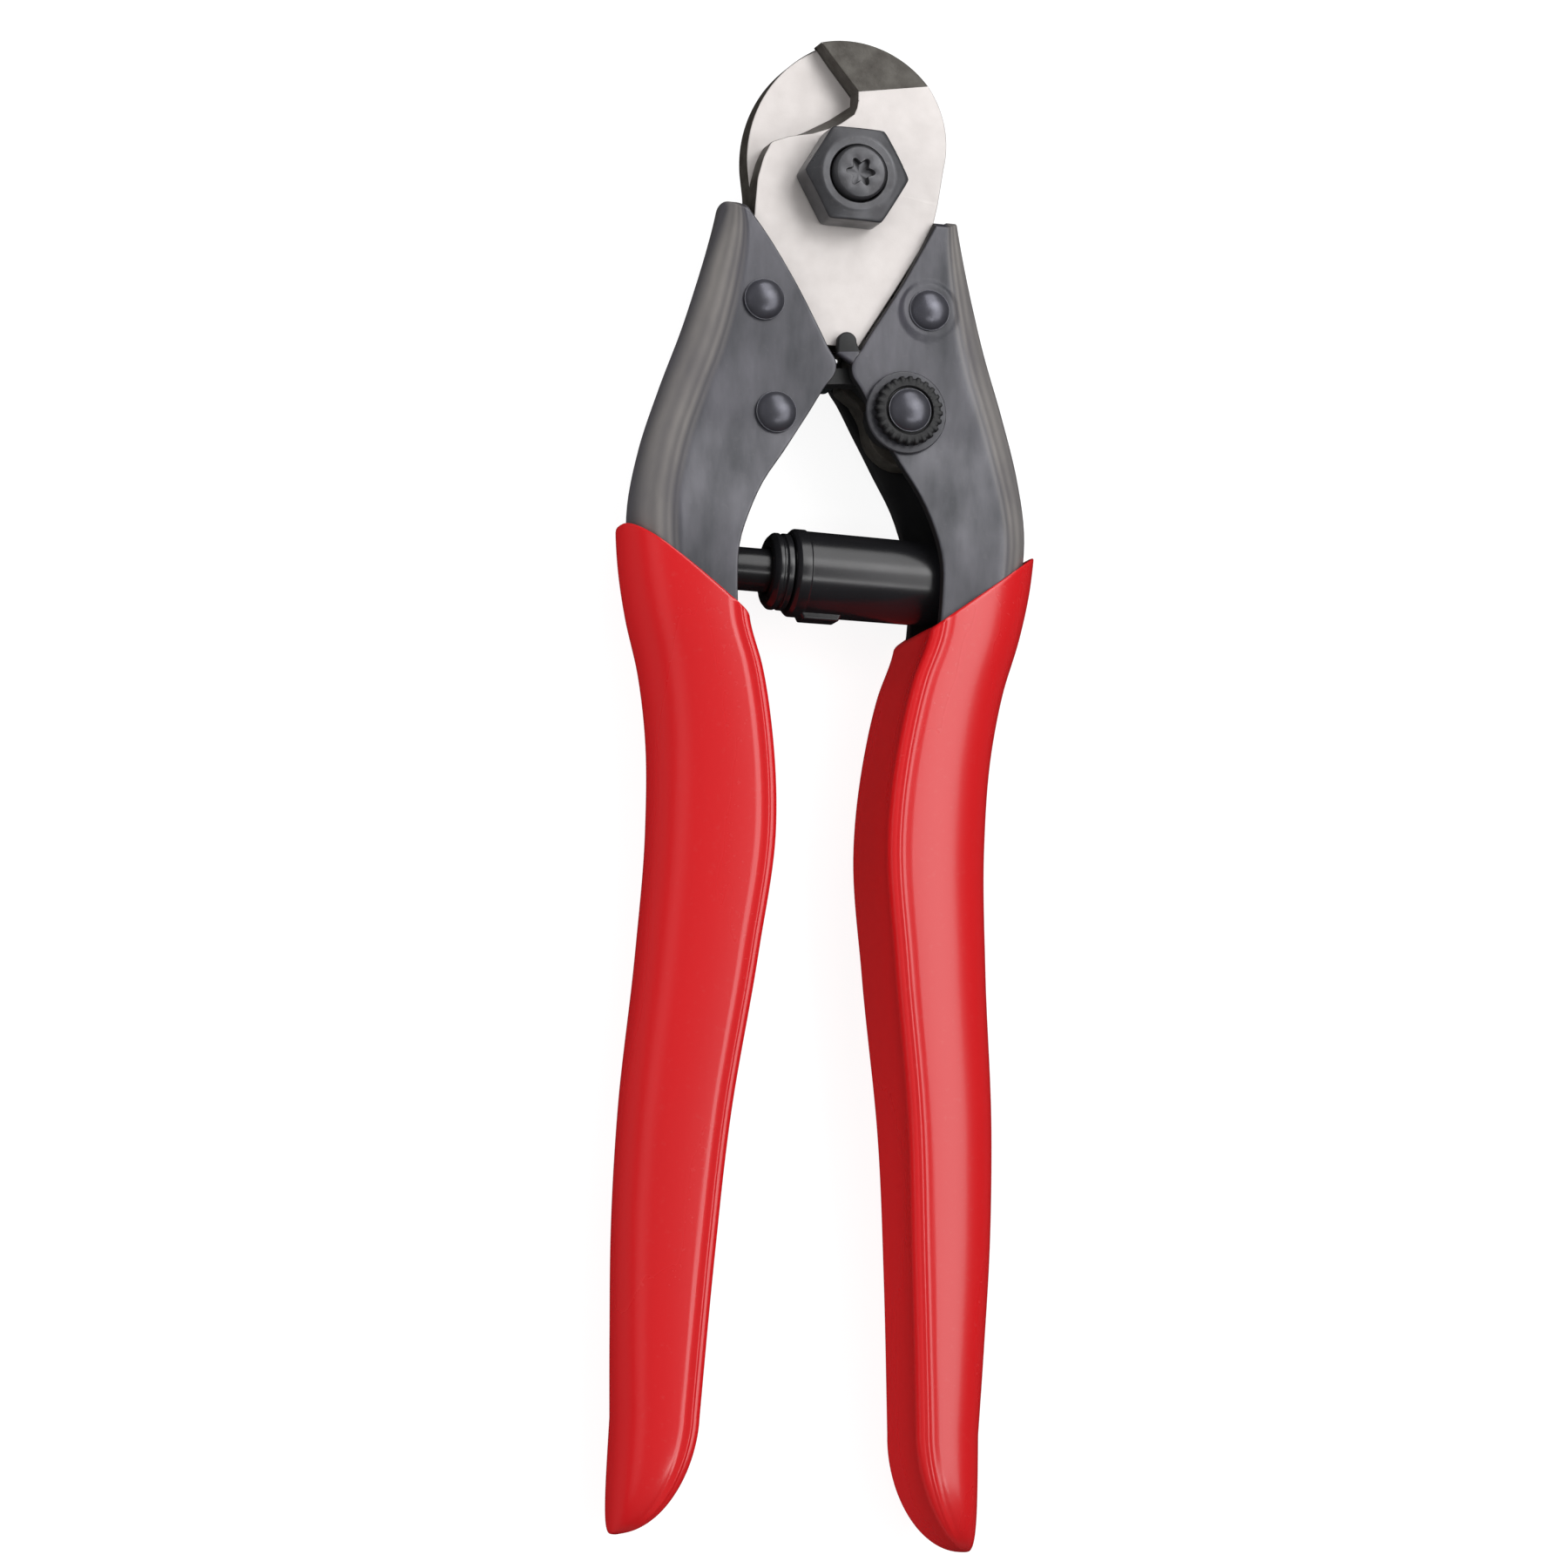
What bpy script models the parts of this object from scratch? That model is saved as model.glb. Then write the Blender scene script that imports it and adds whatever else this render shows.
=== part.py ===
"""One-hand wire rope cutter, 190 mm class, modelled closed and lying on its back.

Frame: origin on the pivot axis at the bolt head's back face, +X to the right,
+Y towards the cutting head, +Z towards the nut. Units are metres.
Two blades in two layers are sandwiched between pressed sheet-steel channel
handles, the handles wear vinyl grips, and a telescopic spring strut pushes the
handles apart. A turn button on the right handle swings a hook that holds them shut.
"""

import math

import bmesh
import bpy
import numpy as np
from mathutils import Matrix, Vector

MM = 0.001

# Layers, measured from the shear plane between the two blades.
GAP = 0.3 * MM  # between pieces that touch
RUN_GAP = 0.2 * MM  # round a shaft that turns in its hole
SHEAR_GAP = 0.3 * MM  # between the two blades
BLADE_T = 3.8 * MM
SHEET_T = 1.5 * MM
GRIP_WALL = 0.9 * MM
BLADE_NEAR = SHEAR_GAP / 2
BLADE_FAR = BLADE_NEAR + BLADE_T
SHEET_IN = BLADE_FAR + GAP
SHEET_OUT = SHEET_IN + SHEET_T
GRIP_STEP = GAP + GRIP_WALL

# Pivot bolt and nut.
BOLT_R = 3.5 * MM
BOLT_END_R = 3.0 * MM
BOLT_PROUD = 1.0 * MM
HEX_FLATS = 12.0 * MM
NUT_T = 5.0 * MM
HEAD_T = 4.55 * MM
SHEAR_Z = BLADE_FAR + GAP + HEAD_T  # height of the shear plane over the bolt head

# Blade outline.
HEAD_R = 13.1 * MM
HEAD_Y = 5.6 * MM
BEAK_TIP_X = -3.8 * MM
REAR_RIM_R = 16.5 * MM  # the rear blade's rim is flatter than the front one's
REAR_RIM_AT = Vector((-4.3, 3.3)) * MM
REAR_RIM_DEG = (-7.0, 62.0)
NOTCH = [Vector(p) * MM for p in ((1.1, 11.9), (1.1, 10.7), (-1.7, 8.6), (-5.1, 6.6), (-8.0, 5.3))]
NOTCH_END = Vector((-10.2, 4.2)) * MM
BLADE_OVERLAP = 2.6 * MM  # how far the rear notch is shallower, so the closed jaws leave no hole
TANG_TIP = Vector((2.25, -21.4)) * MM
BEAK_BEVEL_DEG = 9.0
BEVEL_FROM = Vector((1.1, 11.9)) * MM
BEVEL_TO = Vector((9.7, 13.4)) * MM

# Rivets, by side: +1 is the right handle, whose lower rivet is also the latch pivot.
UPPER_RIVET = {1: Vector((10.9, -16.1)) * MM, -1: Vector((-10.9, -16.7)) * MM}
LOWER_RIVET = {1: Vector((8.2, -29.6)) * MM, -1: Vector((-8.8, -31.0)) * MM}
LATCH_AT = LOWER_RIVET[1]
RIVET_R = 1.7 * MM
RIVET_HEAD_R = 2.65 * MM
RIVET_HEAD_T = 1.35 * MM

# Channel handle, as (Y, value) points in millimetres that smooth curves pass through. Below
# GRIP_LEVEL they are drawn for a grip of DRAWN_LENGTH, and stretch with GRIP_LENGTH.
GRIP_LEVEL = -66.0 * MM
GRIP_LENGTH = 106.4 * MM
DRAWN_LENGTH = 106.4 * MM
HANDLE_END = -162.0
TOP_RISE = 1.5 * MM  # the cut top stands this much higher at the back than at the cheeks
TOP_EASE = -14.0 * MM  # below this the rows of the channel lie square to Y
BULGE = 8.0 * MM  # how far the rounded back reaches towards the open side
SPINE = (
    (-4.9, 15.45), (-12, 17.5), (-20, 19.8), (-28, 22.5), (-36, 24.8), (-44, 25.9), (-50, 25.5),
    (-57, 24.2), (-64, 22.3), (-72, 21.0), (-84, 20.5), (-100, 21.2), (-120, 22.7), (-134, 23.0),
    (-148, 22.6), (-162, 22.0),
)
LIP_TOP = {1: ((-4.9, 11.5),), -1: ((-4.9, 13.4), (-7.8, 11.0))}  # by side, as the rivets
LIP = (
    (-13.4, 7.1), (-20.4, 3.0), (-22.2, 2.0), (-23.6, 1.1), (-25.2, 1.1), (-27.0, 2.3), (-31, 4.6),
    (-36, 7.6), (-40, 10.2), (-44, 12.0), (-48, 13.2), (-53, 13.4), (-58, 13.0),
    (-64, 11.1), (-72, 9.5), (-84, 8.5), (-100, 10.1), (-120, 12.7), (-138, 14.0), (-162, 15.4),
)
FLARE = (  # shares of the widening that makes room for the strut
    (-34, 0.0), (-44, 0.84), (-50, 1.0), (-60, 1.0), (-78, 0.84), (-111, 0.51), (-133, 0.08),
    (-162, 0.03),
)
HANDLE_ROWS = (
    -4.9, -6.4, -7.8, -10, -13.4, -17.5, -20.4, -22.2, -23.6, -25.2, -27, -31, -35, -39, -43, -47,
    -52, -58, -64, -72, -84, -100, -118, -136, -150, HANDLE_END,
)
EAR_R = 1.25 * MM
EAR_AT = Vector((0.35, -21.0)) * MM
EAR_ROOT = [Vector(p) * MM for p in ((-0.9, -22.6), (3.4, -25.0), (3.4, -22.4), (2.0, -22.0))]

# Vinyl grip, from the slanted mouth to the closed tip.
GRIP_MOUTH_BACK = Vector((26.9, -46.4)) * MM
GRIP_MOUTH_LIP = Vector((13.0, -56.9)) * MM
GRIP_ROWS = (-74, -84, -96, -110, -124, -138, -150, -158)
GRIP_TIP = (  # Y, X of the lips, X of the spine in millimetres, and the share of the full depth
    (-164, 14.8, 23.3, 0.98), (-168, 17.1, 23.5, 0.86), (-171, 19.8, 23.7, 0.62),
    (-172.4, 21.6, 23.5, 0.37),
)
LIP_ROUND = 0.9 * MM
HOLLOW = 0.4 * MM  # how far the open side's web dips between the two lips

# Spring strut between the handles, its axis along X.
STRUT_ROOM = 0.8 * MM  # between the sleeve's end and the cheeks that it lies between
STRUT_Y = -50.3 * MM
PIN_AT = Vector((19.8, -53.8)) * MM
PIN_R = 1.5 * MM
EYE_SLACK = 0.45 * MM  # room at the plunger's eye, where the linkage is opened
LUG_R = 2.6 * MM
EYE_WALL = 0.95 * MM
LUG_T = 6.4 * MM
PLUNGER_R = 2.75 * MM
PLUNGER_WALL = 0.55 * MM
PLUNGER_FROM = -15.6 * MM
PLUNGER_TO = 15.6 * MM
SLEEVE_R = 5.6 * MM  # at the mouth, from where it tapers
SLEEVE_END_R = 5.3 * MM
SLEEVE_MOUTH = -4.9 * MM
SLEEVE_TO = 17.6 * MM
CAP_R = 4.9 * MM
CAP_TO = -7.7 * MM
CAP_PLUG_R = 4.0 * MM
CAP_PLUG_T = 1.6 * MM
SPRING_WIRE_R = 0.35 * MM
SPRING_TURNS = 15
SPRING_STEPS = 10

# Latch on the right handle's lower rivet.
HOOK_T = 3.2 * MM
HOOK_HUB_R = 4.0 * MM
HOOK_RELEASED_DEG = 7.0
HOOK_ARM = [Vector(p) * MM for p in (
    (5.2, -27.9), (3.0, -25.5), (1.2, -25.2), (-6.2, -25.2), (-6.3, -22.0), (-5.6, -21.4),
    (-4.8, -21.6), (-4.6, -23.2), (1.8, -23.2), (4.6, -24.2), (7.0, -26.6),
)]
CATCH = [Vector(p) * MM for p in (
    (-5.6, -28.2), (-7.2, -27.5), (-7.2, -20.9), (-4.3, -21.0), (-4.2, -22.8), (-2.9, -22.8), (-2.6, -21.4),
)]
STOP_EDGE = [Vector(p) * MM for p in ((-3.4, -27.6), (-1.4, -26.2), (-1.2, -22.4), (-2.2, -21.4))]
DIAL_R = 4.45 * MM
DIAL_T = 1.2 * MM
DIAL_RECESS = 0.45 * MM
DIAL_TEETH = 24
DIAL_TOOTH = 0.28 * MM
BOSS_R = 3.2 * MM
WASHER_R = 5.3 * MM
WASHER_T = 0.45 * MM
SPACER_R = 4.1 * MM
BUMPER = (Vector((-3.0, -26.2)) * MM, Vector((0.9, -22.7)) * MM)

FINE = 32
COARSE = 20


# ---------------------------------------------------------------- scene and materials


def clear_scene():
    for obj in list(bpy.data.objects):
        bpy.data.objects.remove(obj, do_unlink=True)


def new_collection(name):
    collection = bpy.data.collections.new(name)
    bpy.context.scene.collection.children.link(collection)
    return collection


def material(name, colour, roughness, metallic):
    made = bpy.data.materials.new(name)
    made.use_nodes = True
    shader = made.node_tree.nodes["Principled BSDF"]
    shader.inputs["Base Color"].default_value = (*colour, 1.0)
    shader.inputs["Roughness"].default_value = roughness
    shader.inputs["Metallic"].default_value = metallic
    made.diffuse_color = (*colour, 1.0)
    return made


FINISHES = {
    "ground_steel": ((0.80, 0.78, 0.76), 0.32, 1.0),
    "black_oxide": ((0.07, 0.07, 0.08), 0.42, 0.8),
    "painted_steel": ((0.11, 0.11, 0.13), 0.38, 0.4),
    "rivet_steel": ((0.14, 0.14, 0.16), 0.35, 0.7),
    "bright_steel": ((0.55, 0.55, 0.57), 0.3, 1.0),
    "red_vinyl": ((0.62, 0.02, 0.02), 0.22, 0.0),
    "black_plastic": ((0.03, 0.03, 0.035), 0.25, 0.0),
    "spring_steel": ((0.45, 0.45, 0.47), 0.3, 1.0),
    "black_rubber": ((0.02, 0.03, 0.03), 0.6, 0.0),
}


def dress(obj, finish):
    """Gives the object a material of its own in the named finish."""
    obj.data.materials.clear()
    obj.data.materials.append(material(obj.name + "_" + finish, *FINISHES[finish]))


# ---------------------------------------------------------------- modelling helpers


def lift(height):
    """World height of a point that lies height over the shear plane."""
    return SHEAR_Z + height


def drawn(y):
    """Place in metres of a drawn Y in millimetres, stretched below GRIP_LEVEL with the grip's length."""
    y = np.asarray(y, float) * MM
    return np.where(y < GRIP_LEVEL, GRIP_LEVEL + (y - GRIP_LEVEL) * GRIP_LENGTH / DRAWN_LENGTH, y)


def smooth_curve(points, y, unit=MM):
    """Value at y (metres) of the smooth curve through the drawn (Y, value) points."""
    at, value = np.array(sorted(points)).T
    at, value = drawn(at), value * unit
    slope = np.gradient(value, at)
    y = np.asarray(y, float)
    k = np.clip(np.searchsorted(at, y) - 1, 0, len(at) - 2)
    span = at[k + 1] - at[k]
    t = np.clip((y - at[k]) / span, 0.0, 1.0)
    rise = (1 - t) * (1 - t)
    start = (1 + 2 * t) * rise * value[k] + t * rise * span * slope[k]
    return start + t * t * ((3 - 2 * t) * value[k + 1] - (1 - t) * span * slope[k + 1])


def arc(centre, radius, start_deg, end_deg, count):
    angles = np.radians(np.linspace(start_deg, end_deg, count))
    return [Vector(centre) + radius * Vector((math.cos(a), math.sin(a))) for a in angles]


def mirrored(points):
    return [Vector((-p.x, p.y)) for p in points]


def link_mesh(name, mesh, collection):
    obj = bpy.data.objects.new(name, mesh)
    collection.objects.link(obj)
    return obj


def settle(mesh):
    """Welds doubled points and turns every face outwards."""
    shape = bmesh.new()
    shape.from_mesh(mesh)
    bmesh.ops.remove_doubles(shape, verts=shape.verts, dist=1e-6)
    bmesh.ops.recalc_face_normals(shape, faces=shape.faces)
    shape.to_mesh(mesh)
    shape.free()


def flat_piece(name, points, low, thickness, collection):
    """A plate of this outline in X and Y, from height low over the shear plane."""
    curve = bpy.data.curves.new(name, "CURVE")
    curve.dimensions = "2D"
    curve.fill_mode = "BOTH"
    curve.extrude = thickness / 2
    spline = curve.splines.new("POLY")
    spline.points.add(len(points) - 1)
    for spot, point in zip(spline.points, points):
        spot.co = (point.x, point.y, 0.0, 1.0)
    spline.use_cyclic_u = True
    guide = bpy.data.objects.new(name + "_outline", curve)
    guide.location.z = lift(low + thickness / 2)
    return meshed(name, guide, collection)


def meshed(name, guide, collection):
    """Makes a curve object a mesh object with its caps welded, in place of the curve."""
    collection.objects.link(guide)
    bpy.context.view_layer.update()
    graph = bpy.context.evaluated_depsgraph_get()
    mesh = bpy.data.meshes.new_from_object(guide.evaluated_get(graph))
    mesh.name = name
    obj = link_mesh(name, mesh, collection)
    obj.matrix_world = guide.matrix_world.copy()
    bpy.data.objects.remove(guide, do_unlink=True)
    settle(mesh)
    return obj


def turned(name, profile, collection, at=(0.0, 0.0), along_x=False, steps=FINE):
    """A turned piece. The profile is (radius, place) points down the outer side, axis to axis."""
    mesh = bpy.data.meshes.new(name)
    mesh.from_pydata(
        [(radius, 0.0, place) for radius, place in profile],
        [(k, k + 1) for k in range(len(profile) - 1)],
        [],
    )
    obj = link_mesh(name, mesh, collection)
    spin = obj.modifiers.new("turn", "SCREW")
    spin.angle = math.tau
    spin.steps = spin.render_steps = steps
    spin.use_merge_vertices = True
    spin.merge_threshold = 0.00001
    spin.use_smooth_shade = True
    obj.location = (at[0], at[1], SHEAR_Z)
    if along_x:
        obj.rotation_euler.y = math.pi / 2
        obj.location.x = 0.0
    return obj


def cylinder(name, radius, low, high, at, collection, sides=FINE):
    bpy.ops.mesh.primitive_cylinder_add(
        vertices=sides,
        radius=radius,
        depth=high - low,
        location=(at[0], at[1], lift((low + high) / 2)),
    )
    obj = bpy.context.object
    obj.name = name
    for owner in list(obj.users_collection):
        owner.objects.unlink(obj)
    collection.objects.link(obj)
    return obj


def combine(obj, other, operation):
    step = obj.modifiers.new(operation.lower() + "_" + other.name, "BOOLEAN")
    step.operation = operation
    step.object = other
    step.solver = "EXACT"
    other.hide_render = True
    other.display_type = "WIRE"


def drill(obj, name, radius, low, high, at, collection, sides=COARSE):
    combine(obj, cylinder(name, radius, low, high, at, collection, sides), "DIFFERENCE")


def round_shading(obj, angle_deg=35.0):
    obj.data.shade_smooth()
    obj.data.set_sharp_from_angle(angle=math.radians(angle_deg))


# ---------------------------------------------------------------- blades and pivot


def blade_outline(front):
    """Outline of a blade whose beak is on the right, going round from the beak's tip."""
    shift = 0.0 if front else -BLADE_OVERLAP
    tip_angle = math.degrees(math.acos((BEAK_TIP_X + shift) / HEAD_R))
    notch = [p + Vector((shift, 0.0)) for p in NOTCH]
    notch = [p for p in notch if p.x > NOTCH_END.x - shift / 2]
    flank = [Vector(p) * MM for p in (
        (-11.1, 2.2), (-11.8, -0.6), (-12.0, -4.2), (-12.2, -8.0), (-13.0, -13.0), (-14.4, -19.0),
        (-15.4, -25.0), (-15.2, -30.0), (-13.6, -34.0), (-10.6, -35.8), (-7.6, -35.0),
        (-5.4, -32.8), (-4.9, -29.8),
    )]
    foot = CATCH if front else STOP_EDGE
    side = [Vector(p) * MM for p in ((7.1, -13.2), (11.5, -5.4), (12.2, -1.8))]
    if front:
        rim = arc((0, HEAD_Y), HEAD_R, -11.5, tip_angle, 24)
    else:
        rim = arc(REAR_RIM_AT, REAR_RIM_R, *REAR_RIM_DEG, 14)
        side = side[:-1] + [Vector((11.6, -1.8)) * MM]
        start = math.degrees(math.atan2(rim[-1].y - HEAD_Y, rim[-1].x))
        rim += arc((0, HEAD_Y), HEAD_R - GAP, start, tip_angle, 9)[1:]
    return notch + [NOTCH_END] + flank + foot + [TANG_TIP] + side + rim


def bevel_cutter(name, side, collection):
    """A block whose slanted face grinds the beak down from the bevel line towards the rim."""
    run = BEVEL_TO - BEVEL_FROM
    bpy.ops.mesh.primitive_cube_add(size=1.0)
    block = bpy.context.object
    block.name = name
    size = Vector((40, 20, 10)) * MM
    block.data.transform(Matrix.Translation((0.0, 0.5, 0.5)))
    block.data.transform(Matrix.Diagonal((*size, 1.0)))
    slope = Matrix.Rotation(-math.radians(BEAK_BEVEL_DEG), 4, "X")
    turn = Matrix.Rotation(math.atan2(run.y, run.x), 4, "Z")
    place = Matrix.Translation((BEVEL_FROM.x, BEVEL_FROM.y, BLADE_FAR))
    block.data.transform(place @ turn @ slope)
    if side < 0:
        block.data.transform(Matrix.Rotation(math.pi, 4, "Y"))
    block.location.z = SHEAR_Z
    for owner in list(block.users_collection):
        owner.objects.unlink(block)
    collection.objects.link(block)
    return block


def make_blade(name, side, parts, cutters):
    """side +1 is the front blade, -1 the rear blade: the same shape turned over about Y."""
    outline = blade_outline(side > 0)
    low = BLADE_NEAR
    if side < 0:
        outline = mirrored(outline)
        low = -BLADE_FAR
    blade = flat_piece(name, outline, low, BLADE_T, parts)
    low, high = low - MM, low + BLADE_T + MM
    drill(blade, name + "_pivot_hole", BOLT_R + RUN_GAP, low, high, (0, 0), cutters, FINE)
    for label, spots in (("upper", UPPER_RIVET), ("lower", LOWER_RIVET)):
        drill(blade, name + "_" + label + "_hole", RIVET_R + GAP, low, high, spots[-side], cutters)
    combine(blade, bevel_cutter(name + "_bevel_cutter", side, cutters), "DIFFERENCE")
    dress(blade, "ground_steel")
    return blade


def hexagon(name, low, high, chamfer_high, parts, cutters):
    """A hexagon with flats square to Y, its free face turned to a shallow cone."""
    corner = HEX_FLATS / 2 / math.cos(math.pi / 6)
    piece = cylinder(name, corner, low, high, (0, 0), parts, 6)
    piece.data.transform(Matrix.Rotation(math.pi / 6, 4, "Z"))
    flat, drop = HEX_FLATS / 2, 0.55 * MM
    wide = corner + MM
    fall = drop * (wide - flat) / (corner - flat)
    if chamfer_high:
        profile = [(0, high), (flat, high), (wide, high - fall), (wide, low - MM), (0, low - MM)]
    else:
        profile = [(0, high + MM), (wide, high + MM), (wide, low + fall), (flat, low), (0, low)]
    combine(piece, turned(name + "_chamfer", profile, cutters), "INTERSECT")
    return piece


def make_pivot(parts, cutters):
    low = -(BLADE_FAR + GAP + HEAD_T)
    bolt = hexagon("pivot_bolt", low, -(BLADE_FAR + GAP), False, parts, cutters)
    end = BLADE_FAR + GAP + NUT_T + BOLT_PROUD
    slope = BOLT_R - BOLT_END_R
    recess, recess_r = 0.7 * MM, 1.7 * MM
    shank = [
        (0, end - recess), (recess_r * 0.6, end - recess), (recess_r, end), (BOLT_END_R, end),
        (BOLT_R, end - slope), (BOLT_R, -(BLADE_FAR + 2 * GAP + MM)), (0, -(BLADE_FAR + 2 * GAP + MM)),
    ]
    combine(bolt, turned("bolt_shank", shank, cutters), "UNION")
    dress(bolt, "black_oxide")
    nut_low = BLADE_FAR + GAP
    nut = hexagon("pivot_nut", nut_low, nut_low + NUT_T, True, parts, cutters)
    drill(nut, "nut_thread", BOLT_R + GAP, nut_low - MM, nut_low + NUT_T + MM, (0, 0), cutters, FINE)
    dress(nut, "black_oxide")
    return bolt, nut


# ---------------------------------------------------------------- handles


def half_depth(y):
    """Half the channel's outside depth at y."""
    widening = SLEEVE_END_R + STRUT_ROOM - SHEET_IN
    return SHEET_OUT + widening * smooth_curve(FLARE, y, unit=1.0)


def channel_run(side, y, inset, sheet_steps=2, arc_steps=8):
    """X and height along the channel at y, from the front lip round the back to the rear lip.

    inset moves the run inwards from the outside face, and a negative one moves it outwards.
    """
    spine, lip, depth = smooth_curve(SPINE, y), smooth_curve(LIP_TOP[side] + LIP, y), half_depth(y)
    width = spine - lip
    reach = BULGE * width / (width + BULGE)
    if inset > 0:
        inner = min(reach * reach / (reach + 2 * inset), 0.9 * (width - inset))
    else:
        inner = reach - inset
    spine, depth, lip = spine - inset, depth - inset, min(lip, lip + inset)
    flat = np.linspace(lip, spine - inner, sheet_steps + 1)[:-1]
    angle = np.linspace(math.pi / 2, -math.pi / 2, arc_steps + 1)
    x = np.concatenate([flat, spine - inner + inner * np.cos(angle), flat[::-1]])
    z = np.concatenate([np.full(sheet_steps, depth), depth * np.sin(angle), np.full(sheet_steps, -depth)])
    return x, z


def quads(first, second, count, closed):
    """Faces between two rows of count points each, that start at these indices."""
    last = count if closed else count - 1
    return [(first + k, first + (k + 1) % count, second + (k + 1) % count, second + k) for k in range(last)]


def make_channel(name, side, parts):
    """The pressed channel of one handle: an outside and an inside run in every row."""
    points, faces = [], []
    rows = drawn(HANDLE_ROWS)
    for y in rows:
        rise = TOP_RISE * max(0.0, (y - TOP_EASE) / (rows[0] - TOP_EASE)) ** 2
        for inset in (0.0, SHEET_T):
            x, z = channel_run(side, y, inset)
            up = rise * (1 - (z / z[0]) ** 2)
            points += [(side * a, y + c, lift(b)) for a, b, c in zip(x, z, up)]
    count = len(x)
    step = 2 * count
    for row in range(len(rows) - 1):
        here, there = row * step, (row + 1) * step
        faces += quads(here, there, count, False)
        faces += quads(here + count, there + count, count, False)
        for k in (0, count - 1):
            faces.append((here + k, there + k, there + count + k, here + count + k))
    for end in (0, (len(rows) - 1) * step):
        faces += quads(end, end + count, count, False)
    mesh = bpy.data.meshes.new(name)
    mesh.from_pydata(points, [], faces)
    settle(mesh)
    obj = link_mesh(name, mesh, parts)
    round_shading(obj)
    return obj


def make_handle(name, side, parts, cutters):
    handle = make_channel(name, side, parts)
    reach = SHEET_OUT + 4 * MM
    if side > 0:
        ear = arc(EAR_AT, EAR_R, 0, 180, 7)
        ear += EAR_ROOT
        sunk = 0.1 * MM
        tab = flat_piece("front_ear", ear, SHEET_IN + sunk, SHEET_T - 2 * sunk, cutters)
        combine(handle, tab, "UNION")
    lower_reach = 0 if side > 0 else reach
    drill(handle, name + "_upper_hole", RIVET_R + GAP, -reach, reach, UPPER_RIVET[side], cutters)
    drill(handle, name + "_lower_hole", RIVET_R + GAP, -reach, lower_reach, LOWER_RIVET[side], cutters)
    if side > 0:
        drill(handle, "latch_front_hole", BOSS_R + GAP, 0, reach, LATCH_AT, cutters, FINE)
    pin_reach = half_depth(PIN_AT.y) + 2 * MM
    pin_at = (side * PIN_AT.x, PIN_AT.y)
    drill(handle, name + "_pin_hole", PIN_R + GAP, -pin_reach, pin_reach, pin_at, cutters)
    dress(handle, "painted_steel")
    return handle


def grip_loop(y, offset):
    """The closed loop round the channel at y: lips rounded off and the open side bridged."""
    x, z = channel_run(1, y, -offset, sheet_steps=2, arc_steps=10)
    lip, depth = x[0], z[0]
    turn = LIP_ROUND if offset > GAP else 0.4 * MM
    x[0] = x[-1] = lip + turn
    dip = HOLLOW if offset > GAP else 0.0
    web_z = np.array([-(depth - turn), -depth / 2, 0.0, depth / 2, depth - turn])
    web_x = np.array([lip, lip + 0.75 * dip, lip + dip, lip + 0.75 * dip, lip])
    return np.concatenate([x, web_x]), np.concatenate([z, web_z])


def grip_tip_loop(lip, spine, depth):
    """A loop of the grip's closed tip, with the same number of points as grip_loop gives."""
    width = spine - lip
    reach = BULGE * width / (width + BULGE)
    turn = min(LIP_ROUND, 0.25 * width)
    flat = np.array([lip + turn, (lip + turn + spine - reach) / 2])
    angle = np.linspace(math.pi / 2, -math.pi / 2, 11)
    web_z = np.array([-(depth - turn), -depth / 2, 0.0, depth / 2, depth - turn])
    x = np.concatenate([flat, spine - reach + reach * np.cos(angle), flat[::-1], np.full(5, lip)])
    z = np.concatenate([np.full(2, depth), depth * np.sin(angle), np.full(2, -depth), web_z])
    return x, z


def mouth_row(offset):
    """The grip's mouth: each point of the loop dropped along Y onto the slanted mouth plane."""
    fall = (GRIP_MOUTH_LIP.y - GRIP_MOUTH_BACK.y) / (GRIP_MOUTH_LIP.x - GRIP_MOUTH_BACK.x)
    count = len(grip_loop(GRIP_MOUTH_LIP.y, offset)[0])
    row = np.full(count, GRIP_MOUTH_LIP.y)
    for _ in range(12):
        for k in range(count):
            x = grip_loop(row[k], offset)[0][k]
            row[k] = GRIP_MOUTH_BACK.y + fall * (x - GRIP_MOUTH_BACK.x)
    return row


def grip_wall(side, offset, rows, mouth):
    """Point rows of one face of the grip: slanted at the mouth and easing to square."""
    made = []
    for share in (0.0, 0.3, 0.65):
        ys = mouth + share * (GRIP_LEVEL - mouth)
        loops = [grip_loop(y, offset) for y in ys]
        made.append([(side * x[k], y, lift(z[k])) for k, (y, (x, z)) in enumerate(zip(ys, loops))])
    for y in rows:
        x, z = grip_loop(y, offset)
        made.append([(side * a, y, lift(b)) for a, b in zip(x, z)])
    return made


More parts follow.
